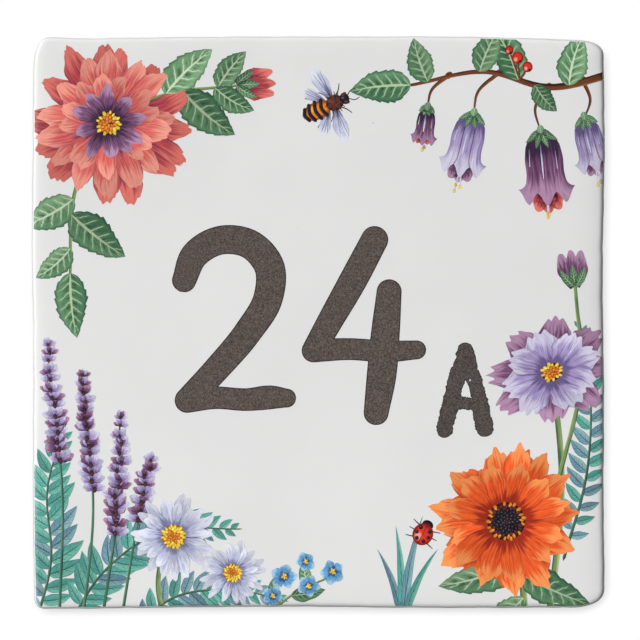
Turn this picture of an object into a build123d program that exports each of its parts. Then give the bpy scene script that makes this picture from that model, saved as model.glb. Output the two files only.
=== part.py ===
import os

from build123d import *

# House number plaque: one hand-cut, white-glazed ceramic tile, as it hangs on a wall.
# Millimetres. +Z is up and the decorated face looks towards -Y. The origin is the middle of the flat back.

# Overall size of the slab
width = 150.0
height = 150.0
thickness = 9.0

# Pillowed face: its rise from the corners to the middle, and the rounding round the face and round the back
face_crown = 0.4
front_edge_radius = 1.8
back_edge_radius = 0.6

# How far inside a true square three corners were cut: the top ones downwards, the left ones to the right
top_left_drop = 0.45
top_right_drop = 0.8
top_left_in = 0.3
bottom_left_in = 0.15

# How far each side stands out (plus) or in (minus) at its middle, against a straight cut
top_bow = 0.7
right_bow = -0.2
bottom_bow = -0.3
left_bow = 0.4

# How much of each side the wiping of each corner takes away, measured from the corner
top_left_along_top = 3.8
top_left_along_left = 9.0
top_right_along_top = 8.0
top_right_along_right = 4.0
bottom_right_along_right = 5.2
bottom_right_along_bottom = 9.0
bottom_left_along_bottom = 3.2
bottom_left_along_left = 3.6


def cut_side(start, end, bow, start_run, end_run):
    """One side, clockwise: a shallow arc from corner to corner that stands out by bow, less both corners' runs."""
    chord = end - start
    outward = Vector(-chord.Y, chord.X).normalized()
    arc = ThreePointArc(start, (start + end) * 0.5 + outward * bow, end)
    return arc.trim(start_run / arc.length, 1 - end_run / arc.length)


def wiped_corner(before, after):
    """The curve from one side to the next, drawn towards the point where the two sides would meet."""
    meeting = Axis(before @ 1, before % 1).intersect(Axis(after @ 0, after % 0))
    return Bezier(before @ 1, meeting, after @ 0)


def slab():
    """The flat clay slab: the hand-cut outline, each corner wiped in its own way, as deep as the tile is thick."""
    top_left = Vector(top_left_in - width / 2, height / 2 - top_left_drop)
    top_right = Vector(width / 2, height / 2 - top_right_drop)
    bottom_right = Vector(width / 2, -height / 2)
    bottom_left = Vector(bottom_left_in - width / 2, -height / 2)
    sides = [
        cut_side(top_left, top_right, top_bow, top_left_along_top, top_right_along_top),
        cut_side(top_right, bottom_right, right_bow, top_right_along_right, bottom_right_along_right),
        cut_side(bottom_right, bottom_left, bottom_bow, bottom_right_along_bottom, bottom_left_along_bottom),
        cut_side(bottom_left, top_left, left_bow, bottom_left_along_left, top_left_along_left),
    ]
    corners = [wiped_corner(before, after) for before, after in zip(sides, sides[1:] + sides[:1])]
    outline = make_face(Wire(sides + corners))
    return extrude(Plane.XZ * outline, amount=thickness)


def crown():
    """A large ball that the slab's face is part of: it touches the face's middle and clears its corners."""
    reach = (width**2 + height**2) ** 0.5 / 2
    ball_radius = (reach**2 + face_crown**2) / (2 * face_crown)
    return Pos(0, ball_radius - thickness, 0) * Sphere(ball_radius)


def hand_formed_tile():
    """The slab with its face pillowed, then rounded along the face's edge and along the back's edge."""
    pressed = slab() & crown()
    face = pressed.faces().sort_by(Axis.Y)[0]
    wiped = fillet(face.edges(), front_edge_radius)
    back = wiped.faces().sort_by(Axis.Y)[-1]
    return fillet(back.edges(), back_edge_radius)


tile = hand_formed_tile()
tile.label = "tile"

os.makedirs("parts", exist_ok=True)
export_step(tile, "parts/tile.step")
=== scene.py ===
"""Looks of a house number plaque: a hand-formed white tile with a fired-on number and painted flowers.

Lengths are in millimetres in the tile's own frame: x to the right and z up as seen from the front, from the
tile's middle. Meshes are written in metres. Angles are in degrees.
"""

from __future__ import annotations

import logging
import math
from dataclasses import dataclass, field
from enum import Enum
from functools import cached_property
from typing import Callable, ClassVar, Protocol, Sequence, Union

import bpy
import numpy as np
from bpy.types import Material, Mesh, NodeSocket, NodeTree, Object
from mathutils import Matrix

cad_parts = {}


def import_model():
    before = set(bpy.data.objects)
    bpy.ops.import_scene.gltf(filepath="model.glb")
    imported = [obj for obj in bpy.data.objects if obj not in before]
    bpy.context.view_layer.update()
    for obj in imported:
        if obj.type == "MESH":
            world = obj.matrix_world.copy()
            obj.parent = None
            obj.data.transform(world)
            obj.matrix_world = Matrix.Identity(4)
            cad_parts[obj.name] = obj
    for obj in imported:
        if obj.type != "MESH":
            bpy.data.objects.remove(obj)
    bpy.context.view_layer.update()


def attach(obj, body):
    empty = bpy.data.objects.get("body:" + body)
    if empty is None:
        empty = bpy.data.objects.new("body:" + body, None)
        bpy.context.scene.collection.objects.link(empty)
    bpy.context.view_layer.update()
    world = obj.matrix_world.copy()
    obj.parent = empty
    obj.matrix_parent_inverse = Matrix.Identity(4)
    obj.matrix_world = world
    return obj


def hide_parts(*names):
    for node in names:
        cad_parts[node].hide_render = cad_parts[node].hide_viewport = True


log = logging.getLogger("plaque")

MM = 0.001
GOLDEN_ANGLE = math.pi * (3 - math.sqrt(5))
BOTH_SIDES = (-1, 1)
PATH_STEPS = 64
PAINT_MAP = "Stroke"
BAKE_MAP = "OFBake"
CHANCES = ("tone", "seed")
FIRST_SEED = 100

Array = np.ndarray
Rng = np.random.Generator
Spot = tuple[float, float]
Point = Sequence[float]
Numbers = tuple[float, ...]
Rows = tuple[Numbers, ...]
Colour = tuple[float, float, float]
Steps = tuple[int, int]


# Paths and flat shapes


def srgb(red: int, green: int, blue: int) -> Colour:
    """Linear colour of an 8-bit screen colour."""
    shown = np.array([red, green, blue]) / 255
    return tuple(np.where(shown <= 0.04045, shown / 12.92, ((shown + 0.055) / 1.055) ** 2.4).tolist())


def eased(count: int) -> Array:
    """Numbers from 0 to 1, closer together towards both ends: half of one minus the cosine."""
    return 0.5 - 0.5 * np.cos(np.linspace(0, math.pi, count))


def pointing(angle: float) -> Array:
    """A step of length one at an angle."""
    return np.array([math.cos(math.radians(angle)), math.sin(math.radians(angle))])


def way_along(path: Array) -> Array:
    """How far along a path each of its places lies."""
    return np.concatenate([[0], np.cumsum(np.linalg.norm(np.diff(path, axis=0), axis=1))])


def path_angles(path: Array) -> Array:
    """The heading of a path at each of its places."""
    return np.degrees(np.unwrap(np.arctan2(*np.gradient(path, axis=0).T[::-1])))


def spread(places: Array) -> tuple[float, float]:
    """The greatest length along a grid of places, and the greatest width across it."""
    return tuple(float(np.linalg.norm(np.diff(places, axis=way), axis=-1).sum(way).max()) for way in (0, 1))


def ripple(along: Array, rng: Rng, waves: int = 4) -> Array:
    """An uneven hand's wobble: sine waves with chance phases, each weaker than the last.

    Args:
        along: Places from 0 to 1.
        rng: Source of the phases.
        waves: Number of waves.

    Returns:
        The wobble there, mostly between -1 and 1.
    """
    rank = np.arange(1, waves + 1)
    phase = rng.uniform(0, math.tau, waves)
    size = rng.uniform(0.5, 1, waves) / rank**0.6
    return (size * np.sin(math.tau * rank * np.asarray(along)[..., None] + phase)).sum(-1) / size.sum() * 1.6


def smooth_path(points: Sequence[Point], count: int) -> Array:
    """A smooth line through a few points: cubic pieces whose slopes are the points' running differences.

    Args:
        points: What it goes through.
        count: How many places to give.

    Returns:
        Places along the line, one row each.
    """
    spots = np.asarray(points, float)
    knots = way_along(spots)
    slopes = np.gradient(spots, knots, axis=0)
    where = np.linspace(0, knots[-1], count)
    left = np.clip(np.searchsorted(knots, where, side="right") - 1, 0, len(spots) - 2)
    gap = (knots[left + 1] - knots[left])[:, None]
    part = (where - knots[left])[:, None] / gap
    rise = part * part * (3 - 2 * part)
    return (
        spots[left] * (1 - rise)
        + spots[left + 1] * rise
        + gap * slopes[left] * part * (1 - part) ** 2
        - gap * slopes[left + 1] * part**2 * (1 - part)
    )


def turning_path(base: Point, angle: float, length: float, bend: float, along: Array) -> Array:
    """A line whose heading turns evenly: the running sum of its small steps.

    Args:
        base: Where it starts.
        angle: Its heading half way.
        length: Its length.
        bend: How far it turns in all.
        along: Which places to give, from 0 to 1.

    Returns:
        The places, one row each.
    """
    shares = np.linspace(0, 1, PATH_STEPS + 1)
    heading = np.radians(angle + bend * (shares - 0.5))
    steps = np.stack([np.cos(heading), np.sin(heading)], -1)
    walked = np.concatenate([[[0, 0]], np.cumsum((steps[1:] + steps[:-1]) / 2, axis=0)]) / PATH_STEPS
    course = np.stack([np.interp(along, shares, walked[:, axis]) for axis in (0, 1)], -1)
    return np.asarray(base, float) + length * course


def ribbon(axis: Array, left: Array, right: Array, across: Array, advance: Union[Array, float] = 0) -> Array:
    """A band along a line: each place is the line's, moved sideways by its half width and on by advance.

    Args:
        axis: The line, one row for each step.
        left: Half width to its left at each step.
        right: Half width to its right.
        across: Places across, from -1 at the right to 1 at the left.
        advance: How far each place is moved on along the line.

    Returns:
        Its places, along by across by two.
    """
    heading = np.gradient(axis, axis=0)
    heading /= np.linalg.norm(heading, axis=1, keepdims=True)
    side = np.stack([-heading[:, 1], heading[:, 0]], -1)
    half = np.where(across[None, :] > 0, left[:, None], right[:, None]) * across[None, :]
    shift = np.broadcast_to(advance, half.shape)
    return axis[:, None] + side[:, None] * half[..., None] + heading[:, None] * shift[..., None]


def petal(
    base: Point,
    angle: float,
    length: float,
    half_width: float,
    rng: Rng,
    root: float = 0.3,
    blunt: float = 0.22,
    frill: float = 0.03,
    lobes: int = 0,
    bend: float = 0.0,
    steps: Steps = (13, 11),
) -> Array:
    """A petal: a band that swells as a sine from its root, with a rounded, ragged or lobed far edge.

    Args:
        base: Where it starts.
        angle: Its heading half way.
        length: Its length.
        half_width: Half of its width.
        rng: Source of its unevenness.
        root: Share of the width that it starts with.
        blunt: How far the far corners lie back, as a share of the length.
        frill: Depth of its chance notches, as a share of the length.
        lobes: Number of even notches.
        bend: How far it turns in all.
        steps: Places along and across.

    Returns:
        Its places, along by across by two.
    """
    along, across = eased(steps[0]), np.linspace(-1, 1, steps[1])
    axis = turning_path(base, angle, length, bend, along)
    swell = half_width * (root + (1 - root) * np.sin(0.5 * math.pi * along**0.85)) * (1 - 0.3 * along**5)
    left, right = (swell * (1 + 0.07 * ripple(along, rng, 3)) for _ in BOTH_SIDES)
    far_edge = frill * ripple(across / 2, rng, 7) - blunt * np.abs(across) ** 2.4
    if lobes:
        far_edge = far_edge + 1.3 * frill * np.cos(math.pi * lobes * across)
    return ribbon(axis, left, right, across, length * along[:, None] ** 3 * far_edge[None, :])


def blade(
    base: Point,
    angle: float,
    length: float,
    half_width: float,
    rng: Rng,
    bend: float = 0.0,
    widest: float = 0.4,
    teeth: int = 0,
    tooth: float = 0.12,
    steps: Steps = (25, 5),
) -> Array:
    """A leaf: a band that is narrow at both ends, as a product of powers, with saw teeth along its margins.

    Args:
        base: Where it starts.
        angle: Its heading half way.
        length: Its length.
        half_width: Half of its width.
        rng: Source of its unevenness.
        bend: How far it turns in all.
        widest: Where along it is widest, from 0 to 1.
        teeth: Number of teeth along each margin.
        tooth: Depth of a tooth, as a share of the half width.
        steps: Places along and across.

    Returns:
        Its places, along by across by two.
    """
    along, across = eased(steps[0]), np.linspace(-1, 1, steps[1])
    axis = turning_path(base, angle, length, bend, along)
    fall = 0.95
    rise = fall * widest / (1 - widest)
    lens = along**rise * (1 - along) ** fall / (widest**rise * (1 - widest) ** fall)
    saw = 1 - tooth * ((along * teeth) % 1) if teeth else np.ones_like(along)
    half = half_width * np.maximum(lens, 0.015)
    left, right = (half * saw * (1 + 0.06 * ripple(along, rng, 3)) for _ in BOTH_SIDES)
    return ribbon(axis, left, right, across)


def oval(
    centre: Point, long_radius: float, short_radius: float, angle: float = 0.0, steps: Steps = (9, 5)
) -> Array:
    """An oval spot: a band along its long axis whose half width is that of an ellipse.

    Args:
        centre: Its middle.
        long_radius: Half of its length.
        short_radius: Half of its width.
        angle: Heading of its length.
        steps: Places along and across.

    Returns:
        Its places, along by across by two.
    """
    reach = 2 * eased(steps[0]) - 1
    axis = np.asarray(centre, float) + long_radius * reach[:, None] * pointing(angle)
    half = short_radius * np.sqrt(np.maximum(1 - reach**2, 4e-4))
    return ribbon(axis, half, half, np.linspace(-1, 1, steps[1]))


def brush(
    points: Sequence[Point], count: int = 17, across: int = 3, rough: float = 0.0, rng: Rng | None = None
) -> Array:
    """A brush line through points that each give x, z and a half width, with half a disc at either end.

    Args:
        points: What it goes through.
        count: Places along.
        across: Places across.
        rough: How far its edges stray, as a share of the half width.
        rng: Source of the straying.

    Returns:
        Its places, along by across by two.
    """
    path = smooth_path(points, 8 * count)
    ahead = path[[1, -1], :2] - path[[0, -2], :2]
    ahead *= (path[[0, -1], 2] / np.linalg.norm(ahead, axis=1))[:, None]
    first, last = (*(path[0, :2] - ahead[0]), path[0, 2]), (*(path[-1, :2] + ahead[1]), path[-1, 2])
    path = np.vstack([first, path, last])
    walked = way_along(path[:, :2])
    along = 0.4 * np.linspace(0, 1, count) + 0.6 * eased(count)
    way = along * walked[-1]
    x, z, half = (np.interp(way, walked, path[:, part]) for part in range(3))
    near_end = np.clip(np.minimum(way / path[0, 2], (walked[-1] - way) / path[-1, 2]), 0, 1)
    half = half * np.sqrt(np.maximum(1 - (1 - near_end) ** 2, 0.003))
    left, right = (half * (1 + rough * ripple(along, rng, 40)) if rough else half for _ in BOTH_SIDES)
    return ribbon(np.stack([x, z], -1), left, right, np.linspace(-1, 1, across))


def line(points: Sequence[Point], start: float, end: float, count: int = 17, across: int = 3) -> Array:
    """A brush line whose half width goes evenly from start to end."""
    return brush(np.column_stack([points, np.linspace(start, end, len(points))]), count, across)


def grid_shares(rows: int, columns: int) -> list[Array]:
    """How far along and how far across an even grid each of its places lies, from 0 to 1."""
    return np.meshgrid(np.linspace(0, 1, rows), np.linspace(0, 1, columns), indexing="ij")


def between(places: Array, along: Array, across: Array) -> Array:
    """Places inside a grid, worked out straight between the four places round each.

    Args:
        places: The grid, along by across by two.
        along: How far along it each wanted place lies, from 0 to 1.
        across: How far across it.

    Returns:
        The wanted places.
    """
    rows, columns = places.shape[:2]
    row, column = along * (rows - 1), across * (columns - 1)
    top = np.clip(row.astype(int), 0, rows - 2)
    side = np.clip(column.astype(int), 0, columns - 2)
    down, over = (row - top)[..., None], (column - side)[..., None]
    upper = places[top, side] * (1 - over) + places[top, side + 1] * over
    lower = places[top + 1, side] * (1 - over) + places[top + 1, side + 1] * over
    return upper * (1 - down) + lower * down


# Meshes


def grid_faces(rows: int, columns: int) -> tuple[Array, Array]:
    """Vertex numbers of a grid's four-sided faces, and of its border.

    Args:
        rows: Places along.
        columns: Places across.

    Returns:
        A row of four for each face, and the border once round.
    """
    grid = np.arange(rows * columns).reshape(rows, columns)
    faces = np.stack([grid[:-1, :-1], grid[1:, :-1], grid[1:, 1:], grid[:-1, 1:]], -1).reshape(-1, 4)
    return faces, np.concatenate([grid[:-1, 0], grid[-1, :-1], grid[:0:-1, -1], grid[0, :0:-1]])


def quad_mesh(name: str, places: Array, quads: Array) -> Mesh:
    """Writes places and four-sided faces to a new mesh.

    Args:
        name: Its name.
        places: A row for each vertex, in metres.
        quads: A row of four vertex numbers for each face.

    Returns:
        The mesh.
    """
    mesh = bpy.data.meshes.new(name)
    mesh.vertices.add(len(places))
    mesh.vertices.foreach_set("co", np.ascontiguousarray(places, np.float32).ravel())
    mesh.loops.add(quads.size)
    mesh.loops.foreach_set("vertex_index", np.ascontiguousarray(quads, np.int32).ravel())
    mesh.polygons.add(len(quads))
    mesh.polygons.foreach_set("loop_start", np.arange(0, quads.size, 4, dtype=np.int32))
    mesh.polygons.foreach_set("use_smooth", np.ones(len(quads), bool))
    mesh.update(calc_edges=True)
    mesh.validate()
    return mesh


def placed(name: str, data: bpy.types.ID) -> Object:
    """Adds an object to the scene.

    Args:
        name: Its name.
        data: Its mesh, lamp or camera.

    Returns:
        The object.
    """
    thing = bpy.data.objects.new(name, data)
    bpy.context.scene.collection.objects.link(thing)
    return thing


# Shader building blocks


def operator(operation: str, swapped: bool = False) -> Callable[[Signal, Value], Signal]:
    """A sum of a signal and something else, which comes first if they are swapped."""
    return lambda this, other: this.tree.math(operation, *((other, this) if swapped else (this, other)))


@dataclass(frozen=True)
class Signal:
    """A value that changes over a surface: one output of a node, on which sums are written as sums."""

    tree: Tree
    socket: NodeSocket
    __add__ = __radd__ = operator("ADD")
    __mul__ = __rmul__ = operator("MULTIPLY")
    __sub__ = operator("SUBTRACT")
    __rsub__ = operator("SUBTRACT", swapped=True)
    __truediv__ = operator("DIVIDE")

    def __abs__(self) -> Signal:
        """This without its sign."""
        return self.tree.math("ABSOLUTE", self)

    def step(self, low: Value, high: Value, start: float = 0.0, end: float = 1.0) -> Signal:
        """A smooth step of this value, from start at low to end at high."""
        given = {"Value": self, "From Min": low, "From Max": high, "To Min": start, "To Max": end}
        return self.tree.signal("MapRange", given, interpolation_type="SMOOTHSTEP")


Value = Union[float, Signal]
Held = Union[Value, Colour, NodeSocket]
Key = Union[str, int]
Inputs = dict[Key, Held]


class Tree:
    """A node tree with short ways to add and join nodes."""

    def __init__(self, tree: NodeTree) -> None:
        """Takes over a tree and empties it."""
        self.tree = tree
        self.tree.nodes.clear()

    def add(self, kind: str, inputs: Inputs | None = None, **settings: object) -> bpy.types.Node:
        """Adds one node.

        Args:
            kind: Its type, without the common prefix.
            inputs: What its sockets hold: numbers, colours or other nodes' outputs.
            **settings: Its own properties.

        Returns:
            The node.
        """
        node = self.tree.nodes.new("ShaderNode" + kind)
        for name, setting in settings.items():
            setattr(node, name, setting)
        for key, held in (inputs or {}).items():
            self.give(node.inputs[key], held)
        return node

    def give(self, socket: NodeSocket, held: Held) -> None:
        """Joins an output to a socket, or sets the socket's own value.

        Args:
            socket: The input socket.
            held: What it is to hold.
        """
        held = held.socket if isinstance(held, Signal) else held
        if isinstance(held, NodeSocket):
            self.tree.links.new(held, socket)
        elif socket.type == "RGBA":
            socket.default_value = (*held, 1)
        else:
            socket.default_value = held

    def signal(self, kind: str, inputs: Inputs | None = None, output: Key = 0, **settings: object) -> Signal:
        """Adds one node and gives one of its outputs."""
        return Signal(self, self.add(kind, inputs, **settings).outputs[output])

    def math(self, operation: str, *numbers: Value) -> Signal:
        """The result of one sum on numbers."""
        return self.signal("Math", dict(enumerate(numbers)), operation=operation)

    def mix(self, share: Value, first: Held, second: Held, blend: str = "MIX") -> Signal:
        """Two colours mixed: the first where share is 0, the second where it is 1."""
        return self.signal("Mix", {0: share, 6: first, 7: second}, 2, data_type="RGBA", blend_type=blend)

    def vector(self, x: Value, y: Value, z: Value = 0) -> Signal:
        """Three numbers joined to a vector."""
        return self.signal("CombineXYZ", {0: x, 1: y, 2: z})

    def parts(self, kind: str, whole: Signal) -> list[Signal]:
        """The three numbers that a vector, of kind XYZ, or a colour, of kind Color, is made of."""
        return [Signal(self, socket) for socket in self.add("Separate" + kind, {0: whole}).outputs]

    def noise(self, vector: Signal, scale: float, detail: float = 2.0, roughness: float = 0.5) -> Signal:
        """Cloud noise at a place, mostly between 0.2 and 0.8."""
        given = {"Vector": vector, "Scale": scale, "Detail": detail, "Roughness": roughness}
        return self.signal("TexNoise", given)

    def place(self) -> Signal:
        """The place on the tile, in metres."""
        return self.signal("TexCoord", None, "Object")

    def group(self, tree: NodeTree, inputs: Inputs | None = None) -> Signals:
        """Places a shared group, with its own values, and gives its outputs by name."""
        node = self.add("Group", inputs, node_tree=tree)
        return {socket.name: Signal(self, socket) for socket in node.outputs}


Signals = dict[str, Signal]


def shared_group(
    name: str, inputs: dict[str, str], formula: Callable[[Tree, Signals], Signals], kind: str = "Float"
) -> NodeTree:
    """Builds a shader group that several materials place.

    Args:
        name: Its name.
        inputs: Socket type of each input.
        formula: Works out its outputs from its inputs.
        kind: Socket type of its outputs.

    Returns:
        The group.
    """
    group = bpy.data.node_groups.new(name, "ShaderNodeTree")
    for socket, input_kind in inputs.items():
        group.interface.new_socket(socket, in_out="INPUT", socket_type="NodeSocket" + input_kind)
    tree = Tree(group)
    start = group.nodes.new("NodeGroupInput")
    made = formula(tree, {socket: Signal(tree, start.outputs[socket]) for socket in inputs})
    for socket in made:
        group.interface.new_socket(socket, in_out="OUTPUT", socket_type="NodeSocket" + kind)
    end = group.nodes.new("NodeGroupOutput")
    for socket, value in made.items():
        tree.give(end.inputs[socket], value)
    return group


def stroke_place(tree: Tree, _: Signals) -> Signals:
    """Where a place lies on its own brush stroke, and the stroke's chance numbers.

    Args:
        tree: The group's tree.

    Returns:
        How far along, across and in from the edge, tone and seed.
    """
    along, side, _ = tree.parts("XYZ", tree.signal("UVMap", uv_map=PAINT_MAP))
    across = 2 * side - 1
    chances = {name.title(): tree.signal("Attribute", None, "Fac", attribute_name=name) for name in CHANCES}
    return {"Along": along, "Across": across, "Inside": 1 - abs(across), **chances}


def brush_bristles(tree: Tree, given: Signals) -> Signals:
    """Streaks of a brush: noise drawn out along the stroke, on lanes that sway a little.

    Args:
        tree: The group's tree.
        given: Its inputs.

    Returns:
        Broad and fine streaks.
    """
    start = 97 * given["Seed"]
    sway = tree.noise(tree.vector(given["Along"], given["Across"], start), 2.2, 1)
    lane = given["Count"] * (0.35 * sway + given["Across"])
    streaks = {"Broad": (0.45, 0.9), "Fine": (1.3, 1.6)}
    return {
        name: tree.noise(tree.vector(wide * lane, long * given["Along"], start), 1, 2, 0.55)
        for name, (wide, long) in streaks.items()
    }


def gouache_grain(tree: Tree, given: Signals) -> Signals:
    """Body colour as it dries: each stroke lighter or darker, with the fine grain of the pigment.

    Args:
        tree: The group's tree.
        given: Its inputs.

    Returns:
        The dried colour.
    """
    place = tree.place()
    cloud = tree.noise(place, 420, 3, 0.6)
    speck = tree.noise(place, 2600, 2, 0.7)
    lift = 0.36 * given["Tone"] + 0.82 + 0.28 * (cloud - 0.5) + given["Grain"] * (speck - 0.5)
    grey = tree.signal("CombineColor", {0: lift, 1: lift, 2: lift})
    return {"Color": tree.mix(1, given["Color"], grey, "MULTIPLY")}


def scattered_flecks(tree: Tree, given: Signals) -> Signals:
    """Round flecks scattered at chance: some of a Voronoi pattern's points, with soft edges.

    Args:
        tree: The group's tree.
        given: Its inputs.

    Returns:
        1 inside a fleck and 0 outside, for two choices of points.
    """
    cell = tree.add("TexVoronoi", {"Vector": given["Place"], "Scale": given["Scale"]}, feature="F1")
    chances = tree.parts("Color", Signal(tree, cell.outputs["Color"]))
    near = Signal(tree, cell.outputs["Distance"]).step(given["Inner"], given["Outer"], 1, 0)
    most, names = given["Rarity"] + 0.02, ("Fleck", "Other")
    return {name: near * chance.step(given["Rarity"], most) for name, chance in zip(names, chances)}


class Effects:
    """The shader groups that several finishes share, each built once."""

    def __init__(self) -> None:
        """Builds every group."""
        bristle_inputs = dict.fromkeys(("Along", "Across", "Seed", "Count"), "Float")
        grain_inputs = {"Color": "Color", "Tone": "Float", "Grain": "Float"}
        fleck_inputs = {"Place": "Vector", **dict.fromkeys(("Scale", "Rarity", "Inner", "Outer"), "Float")}
        self.stroke = shared_group("stroke_place", {}, stroke_place)
        self.bristles = shared_group("brush_bristles", bristle_inputs, brush_bristles)
        self.gouache = shared_group("gouache_grain", grain_inputs, gouache_grain, "Color")
        self.flecks = shared_group("scattered_flecks", fleck_inputs, scattered_flecks)


# Finishes


class Coat(Tree):
    """A new material with one glossy fired surface."""

    gloss: ClassVar[float] = 0.3

    def __init__(self, name: str, effects: Effects, roughness: float) -> None:
        """Makes the material and its surface.

        Args:
            name: The material's name.
            effects: The shared shader groups.
            roughness: How rough it is, unless its finish differs.
        """
        self.material = bpy.data.materials.new(name)
        self.material.use_nodes = True
        super().__init__(self.material.node_tree)
        self.effects = effects
        self.surface = self.add("BsdfPrincipled", {"Roughness": roughness, "Specular IOR Level": self.gloss})
        self.add("OutputMaterial", {"Surface": self.surface.outputs[0]})

    def dress(self, **values: Signal) -> None:
        """Gives the surface its values, by the names of its inputs."""
        for name, value in values.items():
            self.give(self.surface.inputs[name.replace("_", " ").title()], value)

    @cached_property
    def stroke(self) -> Signals:
        """Where a place lies on its brush stroke."""
        return self.group(self.effects.stroke)

    def streaks(self, count: float, changes: float = 1.0) -> tuple[Signal, Signal]:
        """Streaks of the brush.

        Args:
            count: How many lie across the stroke.
            changes: How often they change along it.

        Returns:
            Broad and fine ones.
        """
        at = self.stroke
        given = {"Along": changes * at["Along"], "Across": at["Across"], "Seed": at["Seed"], "Count": count}
        made = self.group(self.effects.bristles, given)
        return made["Broad"], made["Fine"]

    def flecks(self, scale: float, rarity: float, inner: float, outer: float) -> Signals:
        """Scattered flecks, by points to a metre, the share of them left out, and their soft radius."""
        given = {"Place": self.place(), "Scale": scale, "Rarity": rarity, "Inner": inner, "Outer": outer}
        return self.group(self.effects.flecks, given)


class Finish:
    """A way to finish a surface."""

    roughness: ClassVar[float] = 0.32

    def apply(self, coat: Coat) -> None:
        """Works the finish out on a new material."""
        raise NotImplementedError

    def material(self, name: str, effects: Effects) -> Material:
        """Makes a material of that name with the finish."""
        self.apply(coat := Coat(name, effects, self.roughness))
        return coat.material


@dataclass(frozen=True)
class Enamel(Finish):
    """A painter's enamel: its colour changes over each stroke, and it dries with the grain of gouache."""

    shade: Colour
    body: Colour
    pale: Colour
    grain: ClassVar[float] = 0.3

    def dry(self, coat: Coat, colour: Signal) -> None:
        """Lets a colour dry, lighter or darker by the stroke's own tone."""
        wet = {"Color": colour, "Tone": coat.stroke["Tone"], "Grain": self.grain}
        coat.dress(base_color=coat.group(coat.effects.gouache, wet)["Color"])


@dataclass(frozen=True)
class PetalEnamel(Enamel):
    """A petal's paint: deep at the root, pale at the far edge, and streaked along its length."""

    hairs: float = 9.0
    deep_reach: float = 0.45
    pale_reach: float = 0.4
    contrast: float = 0.6

    def apply(self, coat: Coat) -> None:
        """Fades the root and the far edge into the body along ragged lines, then adds hairs.

        Args:
            coat: The new material.
        """
        mix, at = coat.mix, coat.stroke
        broad, fine = coat.streaks(self.hairs)
        ragged = 2.2 * broad - 1.1
        from_root = at["Along"] / self.deep_reach + ragged
        from_tip = (1 - at["Along"]) / self.pale_reach - ragged
        colour = mix(from_root.step(0.55, 1.05, 1, 0), self.body, self.shade)
        colour = mix(from_tip.step(0.3, 1, 0.85, 0), colour, self.pale)
        dark_hair = self.contrast * fine.step(0.55, 0.63) * at["Along"].step(0.45, 1, 1, 0.25)
        pale_hair = self.contrast * fine.step(0.45, 0.38) * at["Along"].step(0.2, 0.8, 0.1, 0.9)
        shaded_edge = at["Inside"].step(0.02, 0.2, 1, 0) * at["Across"].step(-0.6, 0.6, 0.15, 0.6)
        colour = mix(pale_hair, mix(dark_hair, colour, self.shade), self.pale)
        self.dry(coat, mix(shaded_edge, colour, self.shade))


@dataclass(frozen=True)
class LeafEnamel(Enamel):
    """A leaf's paint: one half in shade, pale ribs, and dark pools between them."""

    rib: Colour
    ribs: float = 6.0
    pools: float = 0.8
    hairs: ClassVar[float] = 6

    def apply(self, coat: Coat) -> None:
        """Shades one half, lays pools between the side ribs, darkens the margin and draws the ribs.

        Args:
            coat: The new material.
        """
        at = coat.stroke
        broad, _ = coat.streaks(self.hairs)
        off = abs(at["Across"])
        lane = self.ribs * at["Along"] - 1.15 * off + 0.22 * coat.math("SIGN", at["Across"]) + 0.5 * broad
        from_rib = coat.math("PINGPONG", lane, 0.5)
        shade = 1.2 * broad + 0.45 * at["Across"] - 0.35
        colour = coat.mix(shade.step(0, 0.65, 0, 0.75), self.pale, self.body)
        dab = coat.noise(coat.vector(5 * lane, 2.2 * off, 71 * at["Seed"]), 1)
        pool = from_rib.step(0.05, 0.42) * off.step(0.05, 0.9, 1, 0.1) * dab.step(0.36, 0.6, 0.15, 1)
        colour = coat.mix(self.pools * pool, colour, self.shade)
        colour = coat.mix(at["Inside"].step(0.04, 0.22, 0.5, 0), colour, self.shade)
        side_rib = from_rib.step(0.03, 0.1, 1, 0) * off.step(0.55, 0.85, 0.8, 0)
        colour = coat.mix(side_rib, colour, self.rib)
        mid_rib = (off / (0.1 - 0.05 * at["Along"])).step(0.6, 1.2, 0.9, 0)
        self.dry(coat, coat.mix(mid_rib, colour, self.rib))


@dataclass(frozen=True)
class StemEnamel(Enamel):
    """A stem's paint: a lit side and a shaded side, brushed along its length."""

    grain: ClassVar[float] = 0.25
    hairs: ClassVar[float] = 3
    stretch: ClassVar[float] = 7

    def apply(self, coat: Coat) -> None:
        """Goes from the shaded side over the body to the lit side, along ragged lines.

        Args:
            coat: The new material.
        """
        broad, _ = coat.streaks(self.hairs, self.stretch)
        lit = 1.6 * broad + 0.55 * coat.stroke["Across"] - 0.8
        colour = coat.mix(lit.step(-0.5, 0), self.shade, self.body)
        self.dry(coat, coat.mix(lit.step(0.2, 0.7), colour, self.pale))


@dataclass(frozen=True)
class SpotEnamel(Enamel):
    """A round spot's paint: darker round its rim, with a pale light towards its upper left."""

    light: float = 0.6
    grain: ClassVar[float] = 0.25
    light_place: ClassVar[tuple[float, float, float]] = (-0.3, 0.35, 0)

    def apply(self, coat: Coat) -> None:
        """Darkens the spot unevenly outwards, and sets the light on it.

        Args:
            coat: The new material.
        """
        at = coat.stroke
        run = 2 * at["Along"] - 1
        side = at["Across"] * coat.math("SQRT", 1 - run * run)
        spot = coat.vector(run, side)
        from_middle = coat.signal("VectorMath", {0: spot}, "Value", operation="LENGTH")
        from_light = coat.signal("VectorMath", {0: spot, 1: self.light_place}, "Value", operation="DISTANCE")
        dab = coat.noise(coat.vector(run, side, 53 * at["Seed"]), 1.6)
        colour = coat.mix((from_middle + 0.6 * (dab - 0.5)).step(0.5, 1), self.body, self.shade)
        self.dry(coat, coat.mix(from_light.step(0.12, 0.5, self.light, 0), colour, self.pale))


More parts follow.
